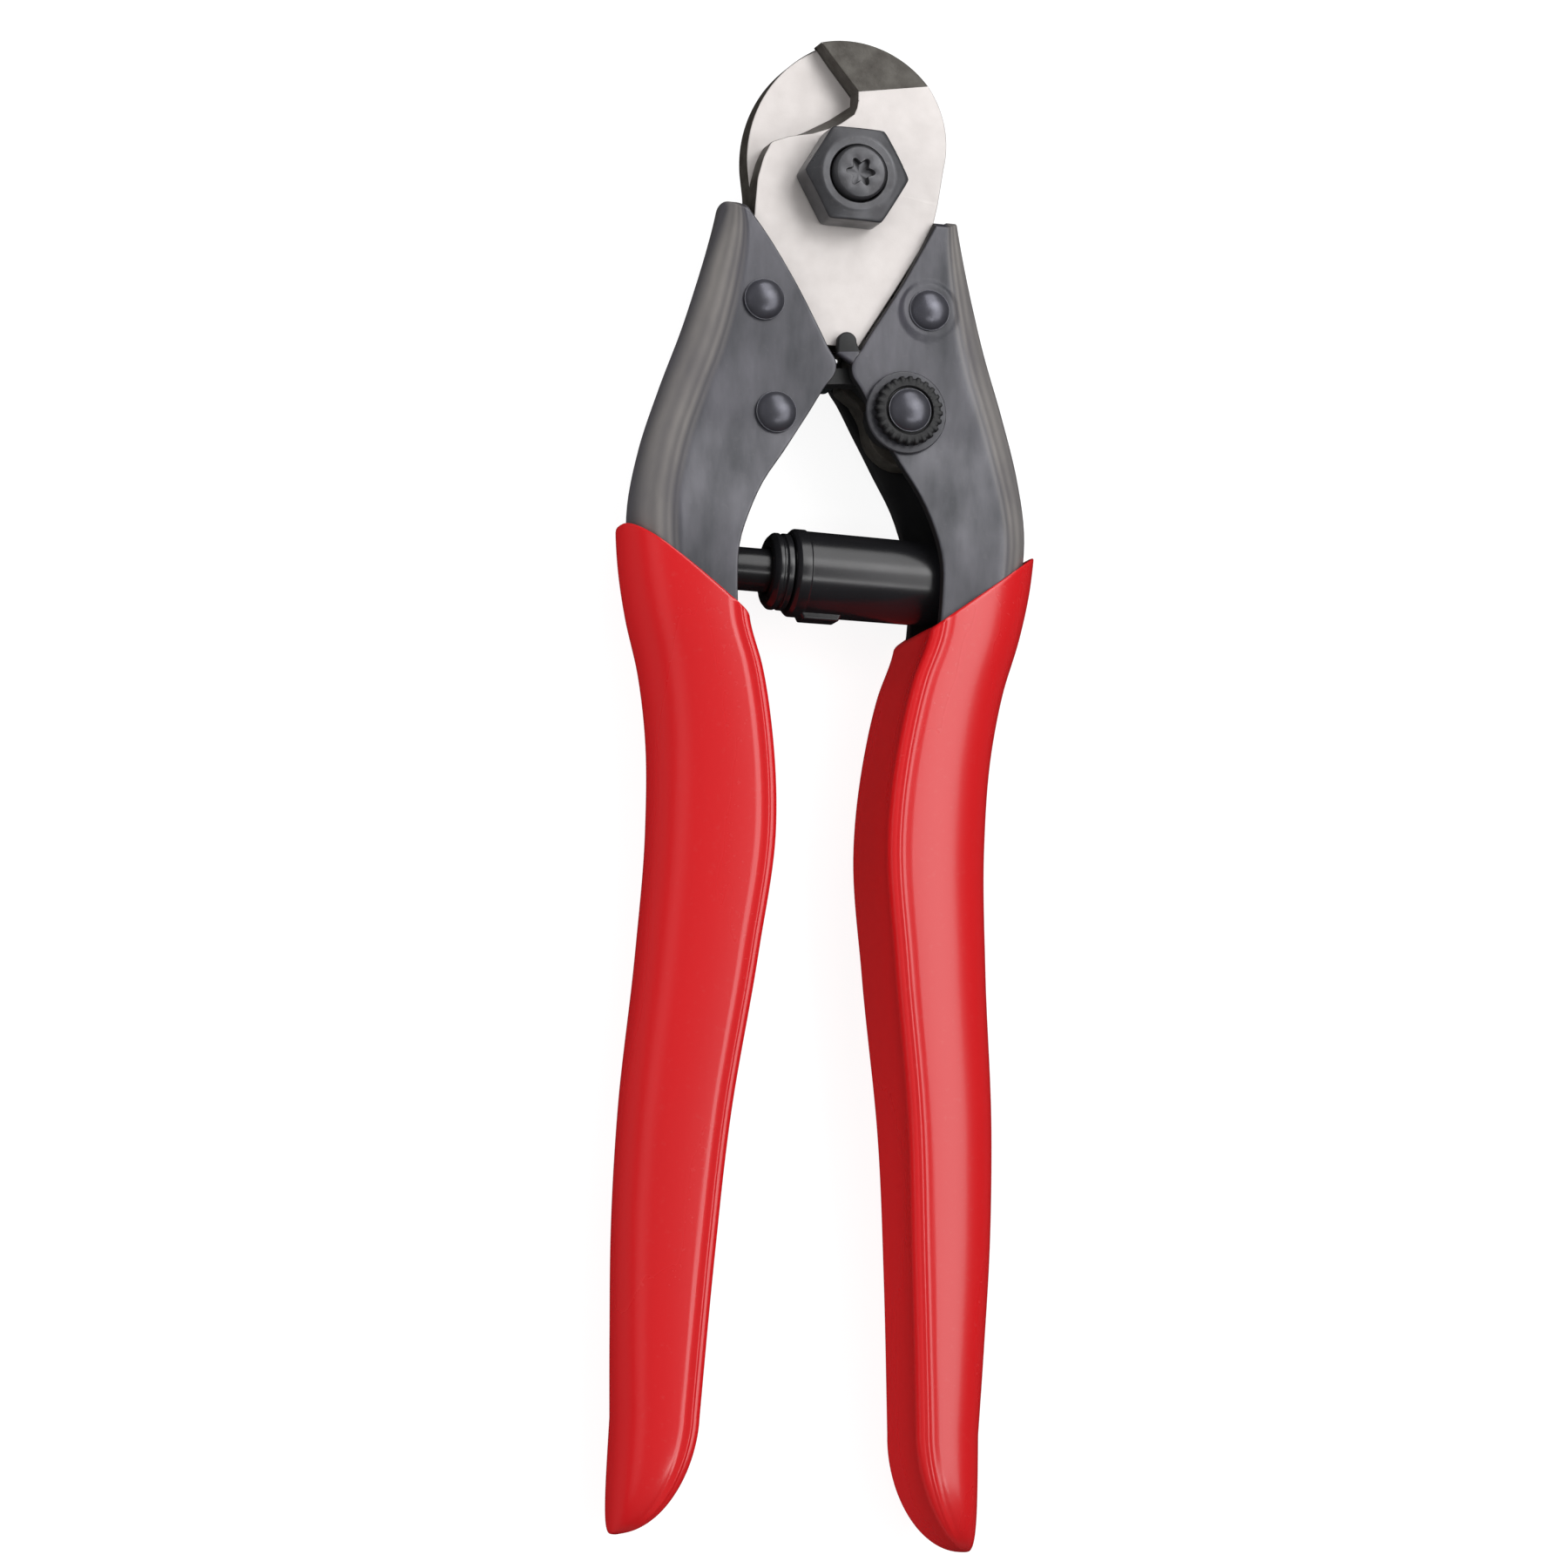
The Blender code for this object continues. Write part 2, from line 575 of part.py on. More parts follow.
def make_grip(name, side, parts):
    """A vinyl sleeve closed at its tip, with a cavity that fits round the channel."""
    square = [GRIP_LEVEL, *drawn(GRIP_ROWS)]
    outside = grip_wall(side, GRIP_STEP, square, mouth_row(GRIP_STEP))
    for y, lip, spine, share in GRIP_TIP:
        x, z = grip_tip_loop(lip * MM, spine * MM, share * (SHEET_OUT + GRIP_STEP))
        outside.append([(side * a, drawn(y), lift(b)) for a, b in zip(x, z)])
    inside = grip_wall(side, GAP, square + [drawn(HANDLE_END) - GAP], mouth_row(GAP))
    count = len(outside[0])
    points, faces = [], []
    for rows in (outside, inside):
        first = len(points)
        for row in rows:
            points += row
        for k in range(len(rows) - 1):
            faces += quads(first + k * count, first + (k + 1) * count, count, True)
        last = first + (len(rows) - 1) * count
        middle = np.mean(rows[-1], axis=0)
        points.append(tuple(middle))
        faces += [(last + k, last + (k + 1) % count, len(points) - 1) for k in range(count)]
    start = len(outside) * count + 1
    faces += quads(0, start, count, True)
    mesh = bpy.data.meshes.new(name)
    mesh.from_pydata(points, [], faces)
    settle(mesh)
    grip = link_mesh(name, mesh, parts)
    round_shading(grip, 50)
    dress(grip, "red_vinyl")
    return grip


# ---------------------------------------------------------------- rivets, spacers and latch


def dome(radius, rise, base, sign, count=4):
    """Profile points of a rivet head from its crown out to its rim."""
    angles = np.linspace(math.pi / 2, 0, count + 1)
    return [(radius * math.cos(a), base + sign * rise * math.sin(a)) for a in angles]


def make_rivet(name, at, front_base, parts):
    back_base = -(SHEET_OUT + GAP)
    profile = dome(RIVET_HEAD_R, RIVET_HEAD_T, front_base, 1)
    profile += [(RIVET_R, front_base), (RIVET_R, back_base)]
    profile += dome(RIVET_HEAD_R, RIVET_HEAD_T, back_base, -1)[::-1]
    profile[0], profile[-1] = (0.0, profile[0][1]), (0.0, profile[-1][1])
    rivet = turned(name, profile, parts, at, steps=COARSE)
    dress(rivet, "rivet_steel")
    return rivet


def make_spacers(parts, cutters):
    low, high = BLADE_NEAR, BLADE_FAR
    washer = cylinder("right_spacer", SPACER_R, low, high, UPPER_RIVET[1], parts, FINE)
    drill(washer, "right_spacer_hole", RIVET_R + GAP, low - MM, high + MM, UPPER_RIVET[1], cutters)
    dress(washer, "bright_steel")
    upper, lower = UPPER_RIVET[-1], LOWER_RIVET[-1]
    outline = arc(upper, SPACER_R, 200, 20, 12)
    beside = BUMPER[0].x - GAP
    outline += [Vector((beside, BUMPER[1].y + GAP)), Vector((beside, BUMPER[0].y - GAP))]
    outline += arc(lower, 4.4 * MM, 20, -160, 12)
    plate = flat_piece("left_spacer", outline, -high, BLADE_T, parts)
    for label, spot in (("upper", upper), ("lower", lower)):
        drill(plate, "left_spacer_" + label + "_hole", RIVET_R + GAP, -high - MM, -low + MM, spot, cutters)
    dress(plate, "bright_steel")
    return washer, plate


def make_bumper(parts):
    a, b = BUMPER
    cut = 0.6 * MM
    outline = [Vector(p) for p in (
        (a.x, a.y), (b.x - cut, a.y), (b.x, a.y + cut), (b.x, b.y - cut), (b.x - cut, b.y), (a.x, b.y),
    )]
    bumper = flat_piece("closing_bumper", outline, -BLADE_FAR + 0.2 * MM, BLADE_T - 0.4 * MM, parts)
    dress(bumper, "black_rubber")
    return bumper


def make_latch(parts, cutters):
    mid = (BLADE_NEAR + BLADE_FAR) / 2
    turn = Matrix.Rotation(math.radians(HOOK_RELEASED_DEG), 2)
    arm = [LATCH_AT + turn @ (p - LATCH_AT) for p in HOOK_ARM]
    first = math.degrees(math.atan2(arm[-1].y - LATCH_AT.y, arm[-1].x - LATCH_AT.x))
    last = math.degrees(math.atan2(arm[0].y - LATCH_AT.y, arm[0].x - LATCH_AT.x))
    hub = arc(LATCH_AT, HOOK_HUB_R, first - 12, last - 360 + 12, 16)
    hook = flat_piece("latch_hook", arm + hub, mid - HOOK_T / 2, HOOK_T, parts)
    drill(hook, "hook_hole", RIVET_R + GAP, mid - HOOK_T, mid + HOOK_T, LATCH_AT, cutters)
    dress(hook, "black_oxide")

    low = SHEET_OUT + GAP
    washer = cylinder("latch_washer", WASHER_R, low, low + WASHER_T, LATCH_AT, parts, FINE)
    drill(washer, "washer_hole", BOSS_R + GAP, low - MM, low + MM, LATCH_AT, cutters, FINE)
    dress(washer, "bright_steel")

    low += WASHER_T + GAP
    turns = np.linspace(0, math.tau, 4 * DIAL_TEETH, endpoint=False)
    rim = [
        LATCH_AT + (DIAL_R - DIAL_TOOTH * (k % 4 in (2, 3))) * Vector((math.cos(a), math.sin(a)))
        for k, a in enumerate(turns)
    ]
    dial = flat_piece("latch_dial", rim, low, DIAL_T, parts)
    boss_low = mid + HOOK_T / 2 + GAP
    boss = cylinder("dial_boss", BOSS_R, boss_low, low + 0.5 * MM, LATCH_AT, cutters, FINE)
    combine(dial, boss, "UNION")
    floor = low + DIAL_T - DIAL_RECESS
    drill(dial, "dial_recess", RIVET_HEAD_R + GAP, floor, floor + 2 * MM, LATCH_AT, cutters, FINE)
    drill(dial, "dial_hole", RIVET_R + GAP, boss_low - MM, floor + 2 * MM, LATCH_AT, cutters)
    dress(dial, "black_oxide")
    rivet = make_rivet("latch_rivet", LATCH_AT, floor + GAP, parts)
    return hook, washer, dial, rivet


# ---------------------------------------------------------------- spring strut


def lug_outline(side, root_x, root_half):
    """A lug from the strut's body to its pin, rounded about the pin."""
    pin = (side * PIN_AT.x, PIN_AT.y)
    outline = [Vector((root_x, STRUT_Y + root_half)), Vector((root_x, STRUT_Y - root_half))]
    if side > 0:
        outline += arc(pin, LUG_R, -100, 60, 8)
    else:
        outline = outline[::-1] + arc(pin, PIN_R + EYE_SLACK + EYE_WALL, 120, 280, 8)
    return outline


def make_sleeve(parts, cutters):
    bore = PLUNGER_R + GAP
    socket = CAP_PLUG_R + GAP
    bore_to = PLUNGER_TO + 0.8 * MM
    plug_at = SLEEVE_MOUTH + CAP_PLUG_T + GAP
    profile = [
        (0, SLEEVE_TO), (SLEEVE_END_R - MM, SLEEVE_TO), (SLEEVE_END_R, SLEEVE_TO - MM),
        (SLEEVE_R, SLEEVE_MOUTH + 0.4 * MM),
        (SLEEVE_R - 0.4 * MM, SLEEVE_MOUTH), (socket, SLEEVE_MOUTH), (socket, plug_at),
        (bore, plug_at), (bore, bore_to), (0, bore_to),
    ]
    sleeve = turned("spring_sleeve", profile, parts, (0, STRUT_Y), along_x=True)
    outline = lug_outline(1, SLEEVE_TO - 0.6 * MM, 4.4 * MM)
    lug = flat_piece("sleeve_lug", outline, -LUG_T / 2, LUG_T, cutters)
    combine(sleeve, lug, "UNION")
    drill(sleeve, "sleeve_pin_hole", PIN_R + RUN_GAP, -LUG_T, LUG_T, PIN_AT, cutters)
    dress(sleeve, "black_plastic")

    lip = CAP_TO
    cap_profile = [
        (CAP_PLUG_R, plug_at - GAP), (CAP_PLUG_R, SLEEVE_MOUTH - GAP), (CAP_R, SLEEVE_MOUTH - GAP),
        (CAP_R, lip + 0.5 * MM), (CAP_R - 0.5 * MM, lip), (bore, lip), (bore, plug_at - GAP),
        (CAP_PLUG_R, plug_at - GAP),
    ]
    cap = turned("sleeve_cap", cap_profile, parts, (0, STRUT_Y), along_x=True)
    dress(cap, "black_plastic")
    return sleeve, cap


def make_plunger(parts, cutters):
    hollow = PLUNGER_R - PLUNGER_WALL
    floor = PLUNGER_FROM + 1.2 * MM
    profile = [
        (0, floor), (hollow, floor), (hollow, PLUNGER_TO), (PLUNGER_R, PLUNGER_TO),
        (PLUNGER_R, PLUNGER_FROM), (0, PLUNGER_FROM),
    ]
    plunger = turned("plunger", profile, parts, (0, STRUT_Y), along_x=True, steps=24)
    outline = lug_outline(-1, PLUNGER_FROM + 0.6 * MM, 2.2 * MM)
    lug = flat_piece("plunger_lug", outline, -LUG_T / 2 + 1.2 * MM, LUG_T - 2.4 * MM, cutters)
    combine(plunger, lug, "UNION")
    at = (-PIN_AT.x, PIN_AT.y)
    drill(plunger, "plunger_eye", PIN_R + EYE_SLACK, -LUG_T, LUG_T, at, cutters)
    dress(plunger, "black_plastic")
    return plunger


def make_spring(parts):
    start = PLUNGER_FROM + 1.2 * MM + GAP + SPRING_WIRE_R
    end = PLUNGER_TO + 0.8 * MM - GAP - SPRING_WIRE_R
    radius = PLUNGER_R - PLUNGER_WALL - GAP - SPRING_WIRE_R
    curve = bpy.data.curves.new("compression_spring", "CURVE")
    curve.dimensions = "3D"
    curve.bevel_depth = SPRING_WIRE_R
    curve.bevel_resolution = 1
    curve.use_fill_caps = True
    steps = SPRING_TURNS * SPRING_STEPS
    turn = np.linspace(0, SPRING_TURNS * math.tau, steps + 1)
    x = np.linspace(start, end, steps + 1)
    spline = curve.splines.new("POLY")
    spline.points.add(steps)
    for spot, a, b in zip(spline.points, turn, x):
        spot.co = (b, STRUT_Y + radius * math.cos(a), lift(radius * math.sin(a)), 1.0)
    spring = meshed("compression_spring", bpy.data.objects.new("spring_wire", curve), parts)
    round_shading(spring, 60)
    dress(spring, "spring_steel")
    return spring


def make_pins(parts):
    made = []
    for name, side in (("sleeve_pin", 1), ("plunger_pin", -1)):
        reach = float(half_depth(PIN_AT.y)) - 0.1 * MM
        pin = cylinder(name, PIN_R, -reach, reach, (side * PIN_AT.x, PIN_AT.y), parts, COARSE)
        dress(pin, "bright_steel")
        made.append(pin)
    return made


# ---------------------------------------------------------------- assembly


def axis_empty(name, at, parent, collection):
    empty = bpy.data.objects.new(name, None)
    empty.location = (at[0], at[1], SHEAR_Z)
    collection.objects.link(empty)
    if parent is not None:
        empty.location -= parent.matrix_world.translation
        empty.parent = parent
    bpy.context.view_layer.update()
    return empty


def hang(objects, empty):
    """Parents the objects to the empty on their joint's axis, leaving them where they are."""
    bpy.context.view_layer.update()
    for obj in objects:
        place = obj.matrix_world.copy()
        obj.parent = empty
        obj.matrix_parent_inverse = Matrix.Identity(4)
        obj.matrix_basis = empty.matrix_world.inverted() @ place


def main():
    clear_scene()
    parts = new_collection("wire_rope_cutter")
    cutters = new_collection("cutters")
    cutters.hide_render = True

    make_blade("front_blade", 1, parts, cutters)
    rear_blade = make_blade("rear_blade", -1, parts, cutters)
    make_pivot(parts, cutters)
    make_handle("left_handle", -1, parts, cutters)
    right_handle = make_handle("right_handle", 1, parts, cutters)
    make_grip("left_grip", -1, parts)
    right_grip = make_grip("right_grip", 1, parts)
    head_base = SHEET_OUT + GAP
    make_rivet("left_upper_rivet", UPPER_RIVET[-1], head_base, parts)
    make_rivet("left_lower_rivet", LOWER_RIVET[-1], head_base, parts)
    right_rivet = make_rivet("right_upper_rivet", UPPER_RIVET[1], head_base, parts)
    right_spacer, _ = make_spacers(parts, cutters)
    make_bumper(parts)
    hook, washer, dial, latch_rivet = make_latch(parts, cutters)
    sleeve, cap = make_sleeve(parts, cutters)
    plunger = make_plunger(parts, cutters)
    spring = make_spring(parts)
    sleeve_pin, _ = make_pins(parts)
    right_half = [rear_blade, right_handle, right_grip, right_rivet, right_spacer]

    pivot = axis_empty("handle_pivot_axis", (0, 0), None, parts)
    latch_axis = axis_empty("latch_axis", LATCH_AT, pivot, parts)
    strut_axis = axis_empty("strut_axis", PIN_AT, pivot, parts)
    hang(right_half + [washer, latch_rivet, sleeve_pin], pivot)
    hang([hook, dial], latch_axis)
    hang([sleeve, cap, plunger, spring], strut_axis)


main()
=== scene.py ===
"""A one-hand wire rope cutter of the 190 mm class, lying closed on a pale floor.

Frame: origin on the pivot axis at the bolt head's back face, +X to the right handle, +Y to the
cutting head, +Z up. Lengths are metres; tables in millimetres are scaled by MM. Heights called
"over the shear plane" start from the plane in which the two blades slide on each other.
"""

import logging
import math
from collections.abc import Callable, Sequence
from dataclasses import dataclass
from enum import Enum

import bmesh
import bpy
import numpy as np
from mathutils import Matrix, Vector
from mathutils.geometry import delaunay_2d_cdt


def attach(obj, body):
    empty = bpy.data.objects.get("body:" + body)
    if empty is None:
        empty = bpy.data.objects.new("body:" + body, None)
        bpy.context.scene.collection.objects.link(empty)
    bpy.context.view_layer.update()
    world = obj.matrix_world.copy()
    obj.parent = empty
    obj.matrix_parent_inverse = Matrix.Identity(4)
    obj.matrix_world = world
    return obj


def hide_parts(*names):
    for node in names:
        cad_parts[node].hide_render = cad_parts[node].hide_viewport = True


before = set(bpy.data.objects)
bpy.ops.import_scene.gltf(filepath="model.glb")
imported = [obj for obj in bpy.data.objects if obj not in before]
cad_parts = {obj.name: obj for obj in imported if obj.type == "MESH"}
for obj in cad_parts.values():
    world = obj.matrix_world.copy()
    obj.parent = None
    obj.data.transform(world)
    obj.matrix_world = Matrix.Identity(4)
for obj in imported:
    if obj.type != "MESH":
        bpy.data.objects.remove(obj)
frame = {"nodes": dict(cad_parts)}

Array = np.ndarray
Piece = bpy.types.Object
Socket = bpy.types.NodeSocket
MM = 0.001
GAP = 0.3 * MM
RUN_GAP = 0.2 * MM
DUST_COLOUR = (0.45, 0.43, 0.40, 1.0)
# Places across a channel's rounded back and the brightness there of the painted highlight streaks.
SHEEN_LINES = (
    (0.08, 0.0), (0.16, 0.45), (0.22, 0.0), (0.32, 1.0), (0.4, 0.25), (0.52, 1.0), (0.66, 0.4), (0.8, 0.9)
)
SHEAR_Z = 8.8 * MM
BLADE_NEAR = 0.15 * MM
BLADE_FAR = 3.95 * MM
SHEET_IN = 4.25 * MM
SHEET_OUT = 5.75 * MM
BOLT_R = 3.5 * MM
HEX_FLATS = 12.0 * MM
UPPER_RIVET = {1: (10.9 * MM, -16.1 * MM), -1: (-10.9 * MM, -16.7 * MM)}
LOWER_RIVET = {1: (8.2 * MM, -29.6 * MM), -1: (-8.8 * MM, -31.0 * MM)}
RIVET_R = 1.7 * MM
STRUT_Y = -50.3 * MM
PIN_AT = (19.8 * MM, -53.8 * MM)
PIN_R = 1.5 * MM

log = logging.getLogger("wire_rope_cutter")


class Graph:
    """Short calls that add nodes to a tree and join them."""

    def __init__(self, tree: bpy.types.NodeTree) -> None:
        self.tree = tree

    def node(self, kind: str, inputs: dict | None = None, **settings: object) -> bpy.types.Node:
        """Adds a node.

        Args:
            kind: The node's type name after "ShaderNode".
            inputs: Socket name or index to a value, or to an output socket to join.
            settings: Attributes of the node.

        Returns:
            The new node.
        """
        made = self.tree.nodes.new("ShaderNode" + kind)
        for name, value in settings.items():
            setattr(made, name, value)
        for name, value in (inputs or {}).items():
            if isinstance(value, Socket):
                self.tree.links.new(value, made.inputs[name])
            else:
                made.inputs[name].default_value = value
        return made

    def maths(self, operation: str, *values: object, clamp: bool = False) -> Socket:
        """The result of one maths operation on numbers or sockets."""
        node = self.node("Math", dict(enumerate(values)), operation=operation, use_clamp=clamp)
        return node.outputs[0]

    def blend(self, share: object, first: object, second: object) -> Socket:
        """A colour that runs from first to second as share goes from 0 to 1."""
        node = self.node("Mix", {"Factor": share, 6: first, 7: second}, data_type="RGBA")
        return node.outputs[2]


def shared_group(name: str, numbers: Sequence[str], fill: Callable) -> bpy.types.NodeTree:
    """The shared group of that name, made at its first use.

    Args:
        name: The group's name.
        numbers: Its number inputs; it has a Vector input as well.
        fill: Adds the nodes, given the graph and the inputs, and returns each output by name.

    Returns:
        The group.
    """
    if name in bpy.data.node_groups:
        return bpy.data.node_groups[name]
    group = bpy.data.node_groups.new(name, "ShaderNodeTree")
    group.interface.new_socket("Vector", in_out="INPUT", socket_type="NodeSocketVector")
    for label in numbers:
        group.interface.new_socket(label, in_out="INPUT", socket_type="NodeSocketFloat")
    made = fill(Graph(group), group.nodes.new("NodeGroupInput").outputs)
    for label in made:
        group.interface.new_socket(label, in_out="OUTPUT", socket_type="NodeSocketFloat")
    leave = group.nodes.new("NodeGroupOutput")
    for label, value in made.items():
        group.links.new(value, leave.inputs[label])
    return group


def edge_wear(graph: Graph, given: bpy.types.NodeInputs) -> dict[str, Socket]:
    """Mask of the narrow bands where outer edges have rubbed: 1 on an edge, broken up by noise."""
    soft = graph.node("Bevel", {"Radius": given["Width"]}, samples=4).outputs[0]
    flat = graph.node("NewGeometry").outputs["Normal"]
    match = graph.node("VectorMath", {0: soft, 1: flat}, operation="DOT_PRODUCT").outputs["Value"]
    turn = graph.maths("MULTIPLY", graph.maths("SUBTRACT", 1.0, match), 9.0, clamp=True)
    noise = graph.node("TexNoise", {"Vector": given["Vector"], "Scale": 900.0, "Detail": 3.0})
    broken = graph.maths("MULTIPLY_ADD", noise.outputs[0], 3.2, -1.1, clamp=True)
    return {"Mask": graph.maths("MULTIPLY", turn, broken)}


def surface_grain(graph: Graph, given: bpy.types.NodeInputs) -> dict[str, Socket]:
    """Slow cloudy patches and fine grain, both from 0 to 1."""
    place = given["Vector"]
    slow = graph.node("TexNoise", {"Vector": place, "Scale": given["Patch Scale"], "Detail": 4.0})
    fine = graph.node("TexNoise", {"Vector": place, "Scale": given["Grain Scale"], "Detail": 2.0})
    patch = graph.maths("MULTIPLY_ADD", slow.outputs[0], 2.4, -0.7, clamp=True)
    return {"Patch": patch, "Grain": fine.outputs[0]}


def settled_dust(graph: Graph, given: bpy.types.NodeInputs) -> dict[str, Socket]:
    """Mask of the light dust that settles in specks on faces that look up."""
    height = graph.node("SeparateXYZ", {0: graph.node("NewGeometry").outputs["Normal"]}).outputs["Z"]
    up = graph.maths("MULTIPLY_ADD", height, 2.0, -1.0, clamp=True)
    specks = graph.node("TexNoise", {"Vector": given["Vector"], "Scale": 1400.0, "Detail": 5.0})
    thin = graph.maths("MULTIPLY_ADD", specks.outputs[0], 6.0, -3.6, clamp=True)
    return {"Mask": graph.maths("MULTIPLY", graph.maths("MULTIPLY", up, thin), given["Amount"])}


@dataclass(frozen=True)
class Finish:
    """A surface finish: two close colours in cloudy patches, fine grain, rubbed edges and dust, and on the
    handles painted highlight streaks.

    Colours are linear. stretch draws patches out along Y; grain_depth is the relief in metres; the sheen
    setting is how strongly painted highlight streaks, in the worn colour, show along a channel's rounded
    back.
    """

    colour: tuple[float, float, float]
    second: tuple[float, float, float]
    worn_and_sheen: tuple[float, float, float]
    roughness: float
    rough_swing: float
    metallic: float = 0.0
    patch_scale: float = 90.0
    grain_scale: float = 2600.0
    grain_depth: float = 0.000004
    wear: float = 0.3
    wear_width: float = 0.0003
    dust: float = 0.1
    stretch: float = 1.0
    coat: float = 0.0
    coat_roughness: float = 0.1
    painted_sheen: float = 0.0

    def sheen_lines(self, graph: Graph, patch: Socket) -> Socket:
        """Strength of the painted highlight streaks along a channel's rounded back, from the stored place
        across it.
        """
        across = graph.node("Attribute", attribute_name="across back").outputs["Fac"]
        lines = graph.node("ValToRGB", {0: across})
        ramp = lines.color_ramp
        ramp.interpolation = "B_SPLINE"
        for at, bright in SHEEN_LINES:
            ramp.elements.new(at).color = (bright, bright, bright, 1.0)
        ramp.elements[0].color = ramp.elements[-1].color = (0.0, 0.0, 0.0, 1.0)
        uneven = graph.maths("MULTIPLY_ADD", patch, 0.5, 0.5)
        return graph.maths("MULTIPLY", graph.maths("MULTIPLY", lines.outputs[0], uneven), self.painted_sheen)

    def material(self, name: str) -> bpy.types.Material:
        """The finish as a material of that name."""
        made = bpy.data.materials.new(name)
        made.use_nodes = True
        graph = Graph(made.node_tree)
        place = graph.node("TexCoord").outputs["Object"]
        drawn = graph.node("Mapping", {"Vector": place, "Scale": (1.0, 1.0 / self.stretch, 1.0)}).outputs[0]

        def shared(title: str, fill: Callable, at: Socket, **numbers: float) -> Sequence:
            """The outputs of a shared group placed in this material."""
            given = {label.replace("_", " "): value for label, value in numbers.items()}
            tree = shared_group(title, list(given), fill)
            return graph.node("Group", {"Vector": at, **given}, node_tree=tree).outputs

        grain = shared(
            "surface grain", surface_grain, drawn, Patch_Scale=self.patch_scale, Grain_Scale=self.grain_scale
        )
        wear = shared("edge wear", edge_wear, place, Width=self.wear_width)["Mask"]
        dust = shared("dust", settled_dust, place, Amount=self.dust)["Mask"]
        patch, worn_and_sheen = grain["Patch"], (*self.worn_and_sheen, 1.0)
        colour = graph.blend(patch, (*self.colour, 1.0), (*self.second, 1.0))
        # Painted highlight: lighter streaks along a channel's rounded back, in the worn colour.
        if self.painted_sheen:
            colour = graph.blend(self.sheen_lines(graph, patch), colour, worn_and_sheen)
        colour = graph.blend(graph.maths("MULTIPLY", wear, self.wear), colour, worn_and_sheen)
        colour = graph.blend(dust, colour, DUST_COLOUR)
        swing = graph.maths("MULTIPLY_ADD", patch, self.rough_swing, self.roughness - self.rough_swing / 2)
        rough = graph.maths("MULTIPLY_ADD", dust, 0.3, swing)
        bump = graph.node("Bump", {"Height": grain["Grain"], "Distance": self.grain_depth, "Strength": 1.0})
        shader = made.node_tree.nodes["Principled BSDF"]
        for socket, value in (("Base Color", colour), ("Roughness", rough), ("Normal", bump.outputs[0])):
            made.node_tree.links.new(value, shader.inputs[socket])
        shader.inputs["Metallic"].default_value = self.metallic
        shader.inputs["Coat Weight"].default_value = self.coat
        shader.inputs["Coat Roughness"].default_value = self.coat_roughness
        return made


